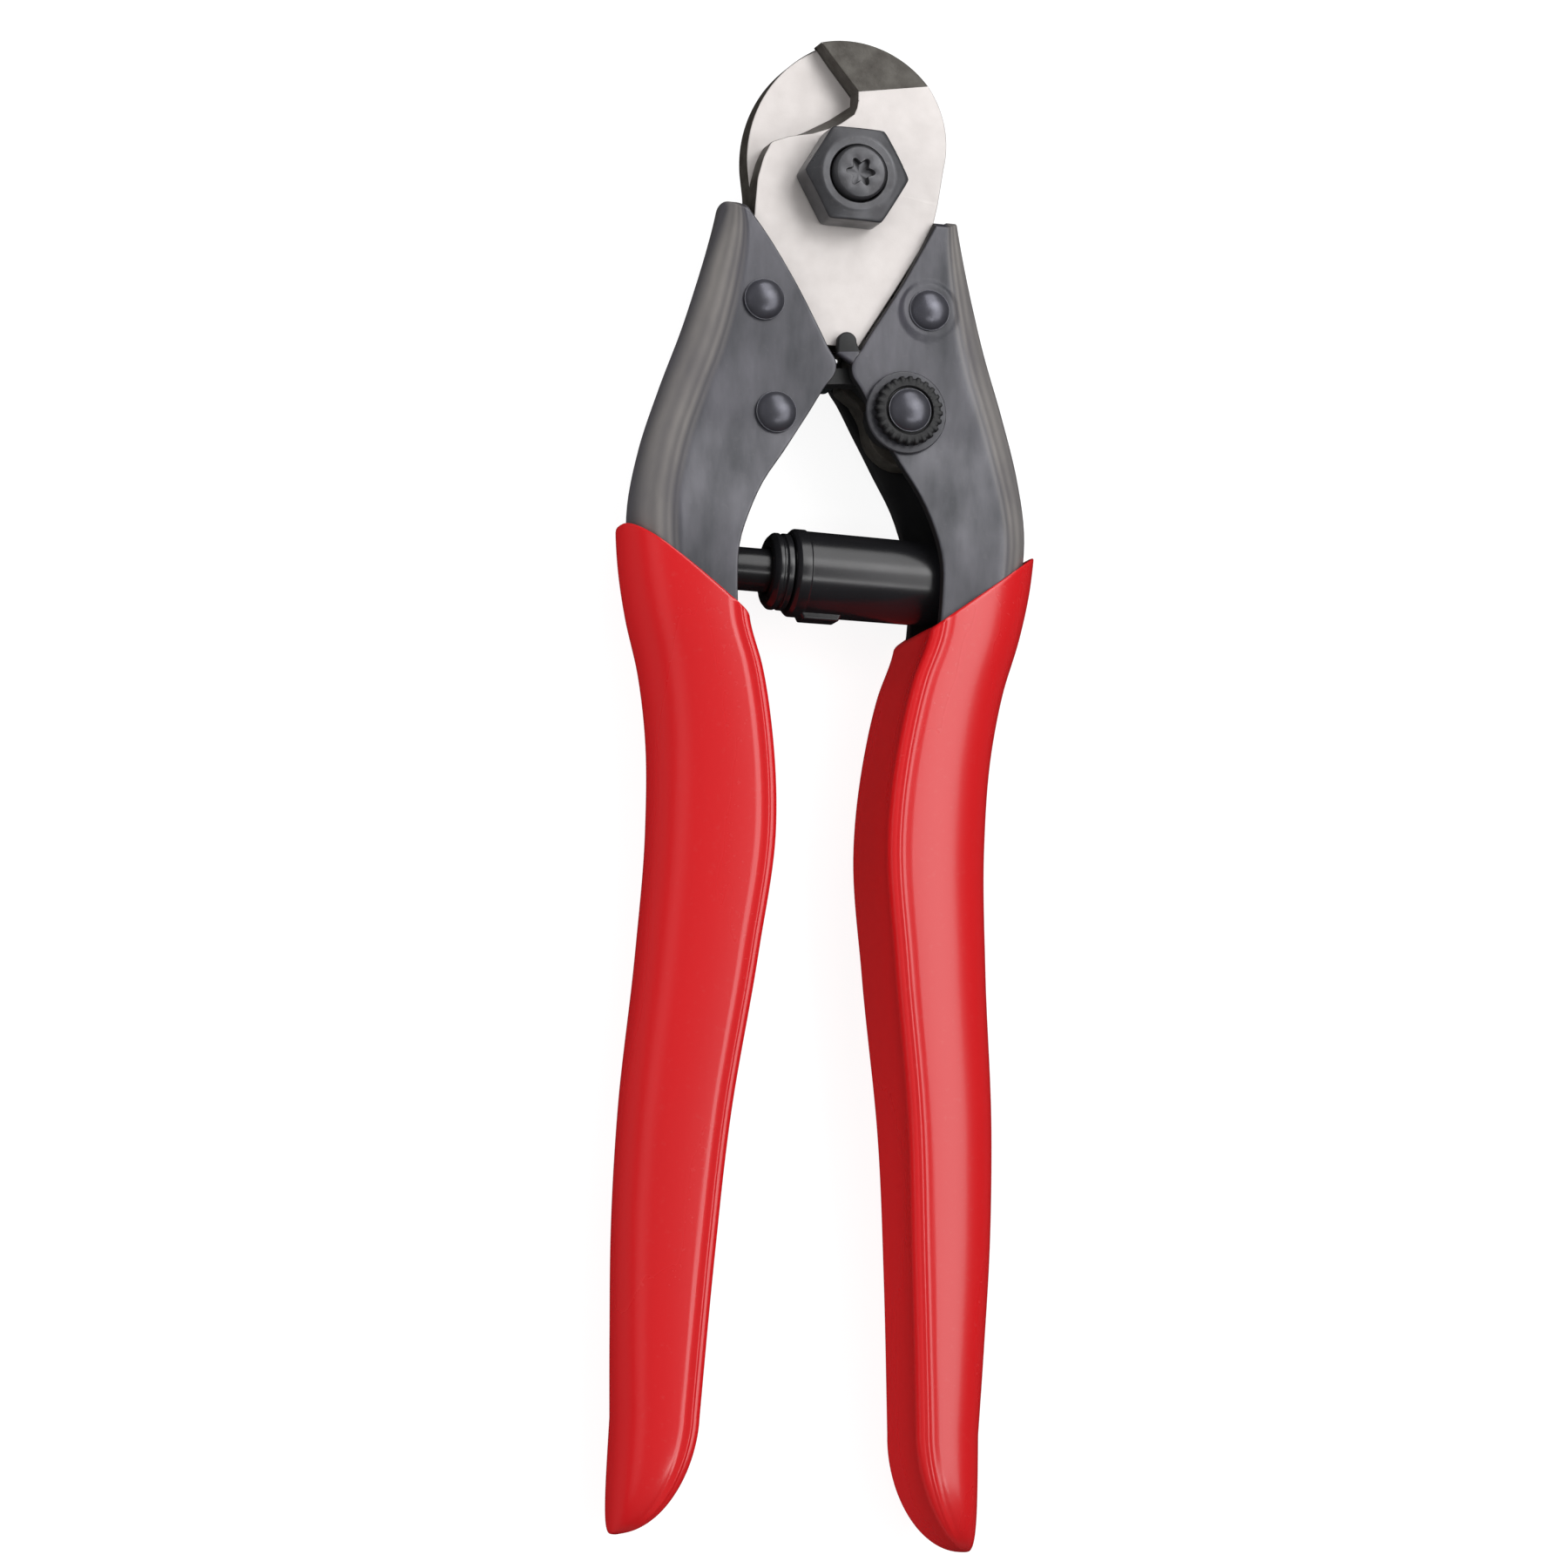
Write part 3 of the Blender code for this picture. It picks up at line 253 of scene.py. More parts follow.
class Look(Enum):
    """The finishes of the tool."""

    GROUND_STEEL = Finish(
        (0.575, 0.54, 0.525), (0.54, 0.505, 0.49), (0.8, 0.78, 0.76), 0.5, 0.05, metallic=0.3,
        patch_scale=500.0, grain_scale=4200.0, grain_depth=0.000006, wear=0.3, dust=0.0,
    )
    FORGED_AND_SHADED_STEEL = Finish(
        (0.072, 0.066, 0.056), (0.040, 0.034, 0.028), (0.22, 0.2, 0.18), 0.5, 0.12, metallic=0.3,
        patch_scale=500.0, grain_scale=2600.0, grain_depth=0.00003, wear=0.35, dust=0.04,
    )
    BLACK_OXIDE = Finish(
        (0.075, 0.076, 0.082), (0.045, 0.044, 0.048), (0.2, 0.2, 0.205), 0.32, 0.1, metallic=0.55,
        patch_scale=300.0, grain_depth=0.000006, wear=0.45, dust=0.06,
    )
    PAINTED_STEEL = Finish(
        (0.072, 0.070, 0.084), (0.026, 0.027, 0.034), (0.36, 0.335, 0.315), 0.36, 0.16, metallic=0.15,
        patch_scale=260.0, grain_scale=1800.0, grain_depth=0.000008, wear=0.35, dust=0.02, stretch=3.0,
        # Painted highlight streaks along the handles' rounded backs.
        painted_sheen=0.9,
    )
    # Near-black painted shade for the handles' lip edges, channel insides and ear, and for the latch hook.
    PAINTED_SHADE = Finish(
        (0.014, 0.014, 0.015), (0.009, 0.009, 0.01), (0.06, 0.06, 0.06), 0.6, 0.1,
        patch_scale=300.0, grain_depth=0.00001, wear=0.15, dust=0.0,
    )
    RIVET_STEEL = Finish(
        (0.105, 0.105, 0.125), (0.075, 0.075, 0.088), (0.22, 0.22, 0.23), 0.3, 0.06, metallic=0.6,
        patch_scale=400.0, grain_depth=0.000005, wear=0.3, dust=0.05,
    )
    DIAL_BLACK = Finish(
        (0.009, 0.009, 0.010), (0.006, 0.006, 0.007), (0.06, 0.06, 0.06), 0.6, 0.1,
        patch_scale=300.0, grain_depth=0.000006, wear=0.12, dust=0.0,
    )
    BRIGHT_STEEL = Finish(
        (0.5, 0.5, 0.52), (0.38, 0.38, 0.4), (0.7, 0.7, 0.7), 0.3, 0.12, metallic=1.0,
        patch_scale=260.0, wear=0.3, dust=0.03,
    )
    DARK_COLLAR = Finish(
        (0.05, 0.05, 0.058), (0.036, 0.036, 0.042), (0.34, 0.34, 0.36), 0.4, 0.1, metallic=0.3,
        patch_scale=260.0, wear=0.8, wear_width=0.0002, dust=0.02,
    )
    RED_VINYL = Finish(
        (0.60, 0.0085, 0.0115), (0.555, 0.0075, 0.010), (0.63, 0.03, 0.032), 0.27, 0.05,
        patch_scale=50.0, grain_scale=900.0, grain_depth=0.000006, wear=0.25, wear_width=0.0005,
        dust=0.03, stretch=4.0, coat=0.25, coat_roughness=0.15,
    )
    BLACK_PLASTIC = Finish(
        (0.012, 0.012, 0.014), (0.008, 0.008, 0.009), (0.05, 0.05, 0.055), 0.24, 0.06,
        patch_scale=160.0, grain_depth=0.000002, wear=0.2, dust=0.01,
    )
    BLACK_RUBBER = Finish(
        (0.012, 0.02, 0.021), (0.008, 0.013, 0.014), (0.04, 0.05, 0.05), 0.55, 0.1,
        patch_scale=400.0, grain_depth=0.00002, wear=0.2, dust=0.08,
    )
    SPRING_STEEL = Finish(
        (0.42, 0.42, 0.44), (0.3, 0.3, 0.32), (0.6, 0.6, 0.6), 0.28, 0.1, metallic=1.0,
        patch_scale=500.0, dust=0.02,
    )


def dress(obj: Piece, *looks: Look) -> Piece:
    """Gives the object materials of its own in these looks, in slot order."""
    kept = np.empty(len(obj.data.polygons), np.int32)
    obj.data.polygons.foreach_get("material_index", kept)
    obj.data.materials.clear()
    for look in looks:
        obj.data.materials.append(look.value.material(obj.name + " " + look.name.lower().replace("_", " ")))
    obj.data.polygons.foreach_set("material_index", np.minimum(kept, len(looks) - 1))
    return obj


def grid_faces(rows: int, columns: int, ring: bool = False) -> Array:
    """Quads of a grid of points whose rows close on themselves; a ring's last row joins its first."""
    r = np.arange(rows if ring else rows - 1)[:, None]
    c = np.arange(columns)[None, :]
    here, there = r * columns, (r + 1) % rows * columns
    beside = (c + 1) % columns
    return np.stack([here + c, here + beside, there + beside, there + c], axis=-1).reshape(-1, 4)


def solid(name: str, points: Array, faces: Sequence, smooth_deg: float = 35.0) -> Piece:
    """A closed mesh object, with doubled points merged and every face turned outwards.

    Args:
        name: The object's name.
        points: (n, 3) points in metres.
        faces: Point numbers of each face.
        smooth_deg: Edges that turn more than this stay sharp.

    Returns:
        The object, linked to the scene.
    """
    mesh = bpy.data.meshes.new(name)
    mesh.from_pydata(np.asarray(points).tolist(), [], faces)
    shape = bmesh.new()
    shape.from_mesh(mesh)
    bmesh.ops.remove_doubles(shape, verts=shape.verts, dist=1e-6)
    bmesh.ops.recalc_face_normals(shape, faces=shape.faces)
    shape.to_mesh(mesh)
    shape.free()
    obj = bpy.data.objects.new(name, mesh)
    bpy.context.scene.collection.objects.link(obj)
    shade(obj, smooth_deg)
    return obj


def shade(obj: Piece, smooth_deg: float) -> None:
    """Smooth shading, sharp at edges that turn more than smooth_deg."""
    obj.data.shade_smooth()
    obj.data.set_sharp_from_angle(angle=math.radians(smooth_deg))


def weight_normals(obj: Piece) -> Piece:
    """Lets large flat faces lead the shading of the small faces at their edges."""
    step = obj.modifiers.new("flat faces lead", "WEIGHTED_NORMAL")
    step.keep_sharp = True
    step.weight = 60
    return obj


def rounded(points: Sequence, radii: float | Sequence[float], steps: int = 5, closed: bool = True) -> Array:
    """A line with its corners rounded by exact circular arcs.

    With P0 and P2 on the two sides at the arc's ends and P1 the corner, each arc is
    ((1-s)^2 P0 + 2s(1-s)w P1 + s^2 P2) / ((1-s)^2 + 2s(1-s)w + s^2), w the sine of half the corner.

    Args:
        points: (n, 2) corners.
        radii: One radius, or one for each corner. It is cut back where a side is too short.
        steps: Pieces in each arc.
        closed: True if the line closes on itself; an open line keeps its two ends.

    Returns:
        (m, 2) points.
    """
    p = np.asarray(points, float)
    radii = np.broadcast_to(np.asarray(radii, float), len(p)).copy()
    if not closed:
        radii[[0, -1]] = 0.0
    back, on = np.roll(p, 1, 0) - p, np.roll(p, -1, 0) - p
    back_long, on_long = np.linalg.norm(back, axis=1), np.linalg.norm(on, axis=1)
    back, on = back / back_long[:, None], on / on_long[:, None]
    half = np.arccos(np.clip((back * on).sum(1), -1.0, 1.0)) / 2
    reach = np.minimum(radii / np.maximum(np.tan(half), 1e-6), 0.48 * np.minimum(back_long, on_long))
    s = np.linspace(0.0, 1.0, steps + 1)[None, :, None]
    first, last = (p + back * reach[:, None])[:, None], (p + on * reach[:, None])[:, None]
    a, b, c = (1 - s) ** 2, 2 * s * (1 - s) * np.sin(half)[:, None, None], s**2
    line = ((a * first + b * p[:, None] + c * last) / (a + b + c)).reshape(-1, 2)
    fresh = np.linalg.norm(line - np.roll(line, 1, 0), axis=1) > 1e-7
    if not closed:
        fresh[0] = True
    return line[fresh]


def quarter_turn(count: int) -> Array:
    """Even angles from 0 to a right angle."""
    return np.linspace(0.0, math.pi / 2, count)


def full_turn(count: int) -> Array:
    """Even angles once round, from 0."""
    return np.linspace(0.0, math.tau, count, endpoint=False)


def arc(centre: Sequence[float], radius: float, start_deg: float, end_deg: float, count: int) -> Array:
    """Points on a circle from one angle to another."""
    angle = np.radians(np.linspace(start_deg, end_deg, count))
    return np.asarray(centre) + radius * np.column_stack([np.cos(angle), np.sin(angle)])


def spun(
    name: str, rows: Sequence, steps: int = 64, at: Sequence[float] = (0.0, 0.0), ring: bool = False,
    along_x: bool = False, smooth_deg: float = 35.0,
) -> Piece:
    """A piece turned about an upright axis, or about the strut's axis.

    Args:
        name: The object's name.
        rows: (radius, place on the axis) of each row; either may hold a value for each step.
        steps: Points round the axis.
        at: Where an upright axis stands; its places are heights over the shear plane.
        ring: True if the last row joins the first.
        along_x: True to turn about the strut's axis, with places measured along X.
        smooth_deg: Edges that turn more than this stay sharp.

    Returns:
        The object.
    """
    angle = full_turn(steps)
    radius, place = (np.array([np.broadcast_to(row[k], steps) for row in rows]) for k in (0, 1))
    a, b = radius * np.cos(angle), radius * np.sin(angle)
    where = (place, a + STRUT_Y, b + SHEAR_Z) if along_x else (a + at[0], b + at[1], place + SHEAR_Z)
    points = np.stack(where, axis=-1).reshape(-1, 3)
    return solid(name, points, grid_faces(len(rows), steps, ring).tolist(), smooth_deg)


def face_table(obj: Piece) -> tuple[Array, Array]:
    """The faces' centres and normals, each as rows of X, Y and Z."""
    table = np.empty((2, 3 * len(obj.data.polygons)))
    obj.data.polygons.foreach_get("center", table[0])
    obj.data.polygons.foreach_get("normal", table[1])
    return table[0].reshape(-1, 3).T, table[1].reshape(-1, 3).T


def mitred(ring: Array, inset: Array, more: Array | float = 0.0) -> Array:
    """The ring moved to its left by each inset and by more at each point, as (insets, points, 2)."""
    on = np.roll(ring, -1, 0) - ring
    on = on / np.linalg.norm(on, axis=1)[:, None]
    left = np.column_stack([-on[:, 1], on[:, 0]])
    before = np.roll(left, 1, 0)
    mitre = (left + before) / np.maximum(1.0 + (left * before).sum(1), 0.35)[:, None]
    return ring + (np.asarray(inset)[:, None] + more)[..., None] * mitre


def turns_left(ring: Array) -> bool:
    """True if the ring goes round anticlockwise."""
    x, y = ring.T
    return float((x * np.roll(y, -1) - y * np.roll(x, -1)).sum()) > 0


def within(points: Array, ring: Array) -> Array:
    """True for each point inside the ring: a ray from it crosses the ring an odd number of times."""
    x, y = points[:, :1], points[:, 1:]
    a, b = ring, np.roll(ring, -1, 0)
    spans = (a[:, 1] > y) != (b[:, 1] > y)
    rise = np.where(b[:, 1] == a[:, 1], 1.0, b[:, 1] - a[:, 1])
    crosses = spans & (x < a[:, 0] + (y - a[:, 1]) / rise * (b[:, 0] - a[:, 0]))
    return crosses.sum(1) % 2 == 1


def plate(
    outline: Array, low: float, high: float, edge: float, holes: Sequence[Array] = (),
    top: Callable[[Array], Array] | None = None, crease: Sequence[Array] = (),
    bevel: Callable[[Array], Array] | None = None, bevel_drop: float = 0.0,
) -> tuple[Array, list]:
    """Points and faces of a flat plate whose edges are rounded.

    A quarter-round profile is carried along the outline and the holes at both faces: at angle a it
    is inset by edge (1 - sin a) and drops edge (1 - cos a) from the face.

    Args:
        outline: (n, 2) outline.
        low: Height of the lower face over the shear plane.
        high: Height of the upper face.
        edge: Radius of the edges.
        holes: Outlines of holes.
        top: Height of the upper face at (n, 2) points, where it isn't level.
        crease: Two points between which the upper face folds.
        bevel: How far the upper face's edge stands back at (n, 2) points of the outline.
        bevel_drop: How far below the upper face that slope starts.

    Returns:
        (points, faces).
    """
    angle = quarter_turn(5)
    inset, drop = edge * (1 - np.sin(angle)), edge * (1 - np.cos(angle))
    points, faces, caps, start = [], [], ([], []), 0
    for k, ring in enumerate([outline, *holes]):
        ring = ring if turns_left(ring) == (k == 0) else ring[::-1]
        back = bevel(ring) if bevel and k == 0 else np.zeros(len(ring))
        lower, upper = mitred(ring, inset), mitred(ring, inset[::-1], back)
        below = low + drop[:, None] + np.zeros(lower.shape[:2])
        face = high + np.zeros(upper.shape[:2]) if top is None else top(upper)
        above = face - drop[::-1, None]
        foot = np.dstack([ring[None], face[:1] - bevel_drop])[: 1 if back.any() else 0]
        layers = np.concatenate([np.dstack([lower, below]), foot, np.dstack([upper, above])])
        points.append(layers.reshape(-1, 3))
        faces += (grid_faces(len(layers), len(ring)) + start).tolist()
        caps[0].append(np.arange(len(ring)) + start)
        start += layers.shape[0] * len(ring)
        caps[1].append(np.arange(len(ring)) + start - len(ring))
    edge_points = np.concatenate(points)
    for level, rings in enumerate(caps):
        numbers = np.concatenate(rings)
        flat = edge_points[numbers, :2]
        first = np.cumsum([0] + [len(r) for r in rings])
        edges = [(int(a + k), int(a + (k + 1) % len(r))) for a, r in zip(first, rings) for k in range(len(r))]
        if level and len(crease):
            edges.append(tuple(int(np.linalg.norm(flat - spot, axis=1).argmin()) for spot in crease))
        spots, _, corners, origins, *_ = delaunay_2d_cdt([Vector(p) for p in flat / MM], edges, [], 1, 1e-6)
        spots, corners = np.array([tuple(v) for v in spots]) * MM, np.array(corners)
        height = top(spots) if level and top is not None else np.full(len(spots), high if level else low)
        fresh = np.array([not origin for origin in origins])
        number = np.array([numbers[origin[0]] if origin else 0 for origin in origins])
        number[fresh] = sum(map(len, points)) + np.arange(fresh.sum())
        points.append(np.column_stack([spots, height])[fresh])
        middle = spots[corners].mean(axis=1)
        solid_here = within(middle, flat[: first[1]])
        for k in range(1, len(rings)):
            solid_here &= ~within(middle, flat[first[k] : first[k + 1]])
        faces += number[corners[solid_here]].tolist()
    return np.concatenate(points) + (0.0, 0.0, SHEAR_Z), faces


def cut(obj: Piece, *others: Piece, join: bool = False) -> None:
    """Takes the other solids out of obj, or joins them to it, and removes them."""
    for other in others:
        step = obj.modifiers.new("join" if join else "cut", "BOOLEAN")
        step.operation = "UNION" if join else "DIFFERENCE"
        step.object = other
        step.solver = "EXACT"
    bpy.context.view_layer.update()
    graph = bpy.context.evaluated_depsgraph_get()
    made = bpy.data.meshes.new_from_object(obj.evaluated_get(graph))
    obj.modifiers.clear()
    obj.data = made
    for other in others:
        bpy.data.objects.remove(other, do_unlink=True)


def drill(radius: float, at: Sequence[float], low: float, high: float, steps: int = 48) -> Piece:
    """A round cutter between two heights over the shear plane."""
    return spun("cutter", [(0.0, low), (radius, low), (radius, high), (0.0, high)], steps, at)


def fit(obj: Piece, body: str, *looks: Look, slot: str = "") -> Piece:
    """Dresses a finished piece, puts it on its body and lets it stand for the CAD node it is named after.

    Args:
        obj: The piece, named after its node.
        body: The body that it rides on.
        looks: Its finishes, in slot order.
        slot: Its material slot in the library, where it isn't the first finish; not used.

    Returns:
        The piece.
    """
    dress(obj, *looks)
    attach(obj, body)
    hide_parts(obj.name.removesuffix("_shown"))
    slot or looks[0].name.lower()
    log.info("%s: %d faces, rides on %s", obj.name, len(obj.data.polygons), body)
    return obj


@dataclass
class Blade:
    """A hooked shear blade. The rear one is the front one's shape turned over about Y."""

    front: bool
    edge: float = 0.18 * MM
    head_r: float = 13.1 * MM
    head_y: float = 5.6 * MM
    tip_x: float = -3.8 * MM
    overlap: float = 2.6 * MM
    bevel_deg: float = 9.0
    # Below this height the rear blade's tang, seen inside the right handle's channel, is painted dark as
    # shade.
    tang_shaded_below: float = -22.0 * MM
    bevel: tuple = ((1.1, 11.9), (9.7, 13.4))
    notch: tuple = ((1.1, 11.9), (1.1, 10.7), (-1.7, 8.6), (-5.1, 6.6), (-8.0, 5.3))
    notch_end: tuple = (-10.2, 4.2)
    notch_ground: tuple = (
        (-8.8, 0.0), (-7.0, 0.35), (-5.1, 0.8), (-2.6, 1.25), (0.2, 1.15), (1.0, 0.1), (1.2, 0.0),
    )
    ground_drop: float = 3.3 * MM
    flank: tuple = (
        (-11.1, 2.2), (-11.8, -0.6), (-12.0, -4.2), (-12.2, -8.0), (-13.0, -13.0), (-14.4, -19.0),
        (-15.4, -25.0), (-15.2, -30.0), (-13.6, -34.0), (-10.6, -35.8), (-7.6, -35.0),
        (-5.4, -32.8), (-4.9, -29.8),
    )
    catch: tuple = (
        (-5.6, -28.2), (-7.2, -27.5), (-7.2, -20.9), (-4.3, -21.0), (-4.2, -22.8), (-2.9, -22.8),
        (-2.6, -21.4),
    )
    stop: tuple = ((-3.4, -27.6), (-1.4, -26.2), (-1.2, -22.4), (-2.2, -21.4))
    tang_tip: tuple = (2.25, -21.4)
    side: tuple = ((7.1, -13.2), (11.5, -5.4))

    def outline(self) -> Array:
        """The outline with each corner rounded by its own radius."""
        shift = 0.0 if self.front else -self.overlap
        notch = np.array(self.notch) * MM + (shift, 0.0)
        notch = notch[notch[:, 0] > self.notch_end[0] * MM - shift / 2]
        share = np.linspace(0.0, 1.0, 6)[:-1, None, None]
        last = notch[-1:]
        notch = (notch[:-1] + share * (notch[1:] - notch[:-1])).transpose(1, 0, 2).reshape(-1, 2)
        notch = np.concatenate([notch, last])
        foot = self.catch if self.front else self.stop
        tip_deg = math.degrees(math.acos((self.tip_x + shift) / self.head_r))
        centre = (0.0, self.head_y)
        if self.front:
            side = (*self.side, (12.2, -1.8))
            rim = arc(centre, self.head_r, -11.5, tip_deg, 90)
        else:
            side = (*self.side, (11.6, -1.8))
            rim = arc((-4.3 * MM, 3.3 * MM), 16.5 * MM, -7.0, 62.0, 60)
            start = math.degrees(math.atan2(rim[-1, 1] - self.head_y, rim[-1, 0]))
            rim = np.concatenate([rim, arc(centre, self.head_r - GAP, start, tip_deg, 30)[1:]])
        parts = (
            (notch, 0.25), (np.array([self.notch_end]) * MM, 1.0), (np.array(self.flank) * MM, 6.0),
            (np.array(foot) * MM, 0.3), (np.array([self.tang_tip]) * MM, 0.6), (np.array(side) * MM, 8.0),
            (rim, 0.0),
        )
        corners = np.concatenate([points for points, _ in parts])
        radii = np.concatenate([np.full(len(points), radius * MM) for points, radius in parts])
        radii[-1] = 0.3 * MM
        return rounded(corners, radii)

    def beyond_bevel(self, spots: Array) -> Array:
        """How far each (x, y) lies beyond the bevel line, towards the beak."""
        start, end = np.array(self.bevel) * MM
        run = (end - start) / np.linalg.norm(end - start)
        return (spots[..., 1] - start[1]) * run[0] - (spots[..., 0] - start[0]) * run[1]

    def set_back(self, spots: Array) -> Array:
        """How far the upper face stands back along the notch's lower edge, widest near its root."""
        at, depth = np.array(self.notch_ground).T * MM
        shift = 0.0 if self.front else -self.overlap
        low = (spots[:, 1] < 11.0 * MM) & (spots[:, 1] > 4.2 * MM) & (spots[:, 0] < 1.2 * MM + shift)
        notch = np.array((*self.notch, self.notch_end)) * MM
        line = np.interp(spots[:, 0] - shift, notch[::-1, 0], notch[::-1, 1])
        near = np.abs(spots[:, 1] - line) < 0.6 * MM
        return np.where(low & near, np.interp(spots[:, 0] - shift, at, depth), 0.0)

    def height(self, spots: Array) -> Array:
        """Upper face: level, then falling at the bevel's angle beyond the bevel line."""
        return BLADE_FAR - math.tan(math.radians(self.bevel_deg)) * np.maximum(0.0, self.beyond_bevel(spots))

    def build(self) -> Piece:
        """Builds, dresses and fits the blade."""
        name = "front_blade" if self.front else "rear_blade"
        flip = 1 if self.front else -1
        holes = [arc((0, 0), BOLT_R + RUN_GAP, 0, 360, 97)[:-1]]
        for x, y in (UPPER_RIVET[-flip], LOWER_RIVET[-flip]):
            holes.append(arc((flip * x, y), RIVET_R + GAP, 0, 360, 49)[:-1])
        outline = self.outline()
        near = outline[np.linalg.norm(outline - np.array(self.bevel[0]) * MM, axis=1).argmin()]
        far = outline[outline[:, 0] > 5 * MM]
        far = far[np.abs(self.beyond_bevel(far)).argmin()]
        points, faces = plate(
            outline, BLADE_NEAR, BLADE_FAR, self.edge, holes, top=self.height, crease=(near, far),
            bevel=self.set_back, bevel_drop=self.ground_drop,
        )
        points[:, 2] = SHEAR_Z + flip * (points[:, 2] - SHEAR_Z)
        points[:, 0] *= flip
        obj = solid(name + "_shown", points, faces, 40.0)
        centre, (_, _, nz) = face_table(obj)
        beak = self.beyond_bevel(centre[:2].T * (flip, 1.0)) > 0.02 * MM
        # The rear tang's lower part is painted dark as the shade inside the right handle's channel; the walls
        # and the beak's facet are the forged black finish.
        tang = (centre[1] < self.tang_shaded_below) & (not self.front)
        forged_and_shaded = (np.abs(nz) < 0.75) | (beak & (nz * flip > 0.5)) | tang
        obj.data.polygons.foreach_set("material_index", forged_and_shaded.astype(np.int32))
        weight_normals(obj)
        body = "left_half" if self.front else "right_half"
        return fit(obj, body, Look.GROUND_STEEL, Look.FORGED_AND_SHADED_STEEL)


@dataclass
class Pivot:
    """The bolt with its hexagon head behind, and the hexagon nut on the front."""

    head_low: float = -8.8 * MM
    head_high: float = -4.25 * MM
    nut_low: float = 4.25 * MM
    nut_high: float = 9.25 * MM
    bolt_end: float = 10.25 * MM
    end_r: float = 3.15 * MM
    fall: float = 0.31
    face_share: float = 0.8
    edge: float = 0.2 * MM
    steps: int = 144

    def hexagon(self) -> Array:
        """Radius to the hexagon's side round the axis, its corners eased by blending with a circle."""
        angle = np.linspace(0.0, 360.0, self.steps, endpoint=False)
        side = HEX_FLATS / 2 / np.cos(np.radians(angle % 60.0 - 30.0))
        circle = HEX_FLATS / 2 / math.cos(math.pi / 6) * 0.992
        return (side**-60.0 + circle**-60.0) ** (-1 / 60.0)

    def outside(self, base: float, face: float) -> list[tuple[Array, Array]]:
        """Rows of (radius, height) from the base plane out and over the chamfered free face."""
        out = 1.0 if face > base else -1.0
        side, flat = self.hexagon(), HEX_FLATS / 2 * self.face_share

        def crown(radius: Array) -> Array:
            """Height of the chamfered face, level within the flat and falling evenly beyond it."""
            return face - out * self.fall * np.maximum(0.0, radius - flat)

        rows = [(side - self.edge, base), (side, base + out * self.edge)]
        for angle in quarter_turn(4):
            radius = side - self.edge * (1 - math.cos(angle))
            rows.append((radius, crown(radius) - out * self.edge * (1 - math.sin(angle))))
        for share in (0.25, 0.5, 0.75, 1.0):
            radius = side - self.edge + (flat - side + self.edge) * share
            rows.append((radius, crown(radius)))
        return [*rows, (flat * 0.96, face)]

    def recess(self) -> list[tuple[Array, float]]:
        """Rows from the bolt end's rim into its six-lobed socket, ending on the axis."""
        angle = full_turn(self.steps)
        lobes = (1.5 + 0.36 * np.cos(6 * angle)) * MM
        radii = (lobes + 0.55 * MM, lobes + 0.1 * MM, lobes, lobes - 0.06 * MM, lobes * 0.5, 0.0)
        sunk = (0.0, 0.03, 0.14, 0.9, 0.98, 1.0)
        return [(radius, self.bolt_end - depth * MM) for radius, depth in zip(radii, sunk)]

    def build(self) -> None:
        """Builds, dresses and fits the bolt and the nut."""
        end, r, bore = self.bolt_end, self.end_r, BOLT_R + RUN_GAP
        bolt = [(0.0, self.head_low), *self.outside(self.head_high, self.head_low)[::-1]]
        bolt += [(BOLT_R + 0.3 * MM, self.head_high), (BOLT_R, self.head_high + 0.2 * MM)]
        bolt += [(BOLT_R, end - 0.5 * MM), (BOLT_R - 0.05 * MM, end - 0.3 * MM)]
        bolt += [(r + 0.12 * MM, end - 0.06 * MM), (r - 0.1 * MM, end), *self.recess()]
        nut = [(bore, self.nut_low), *self.outside(self.nut_low, self.nut_high)]
        nut += [(bore + 0.15 * MM, self.nut_high), (bore, self.nut_high - 0.15 * MM)]
        for name, rows in (("pivot_bolt", bolt), ("pivot_nut", nut)):
            obj = spun(name + "_shown", rows, self.steps, ring=name == "pivot_nut", smooth_deg=38.0)
            fit(weight_normals(obj), "left_half", Look.BLACK_OXIDE)


def smooth_curve(points: Sequence, y: Array, unit: float = MM) -> Array:
    """Values at y of the smooth curve through (Y, value) points.

    Between two points it is the cubic with their values and slopes, a slope being the weighted
    mean of the two chords beside the point.
    """
    at, value = np.array(sorted(points)).T * [[MM], [unit]]
    slope = np.gradient(value, at)
    k = np.clip(np.searchsorted(at, y) - 1, 0, len(at) - 2)
    span = at[k + 1] - at[k]
    t = np.clip((y - at[k]) / span, 0.0, 1.0)
    rise = (1 - t) ** 2
    start = (1 + 2 * t) * rise * value[k] + t * rise * span * slope[k]
    return start + t * t * ((3 - 2 * t) * value[k + 1] - (1 - t) * span * slope[k + 1])


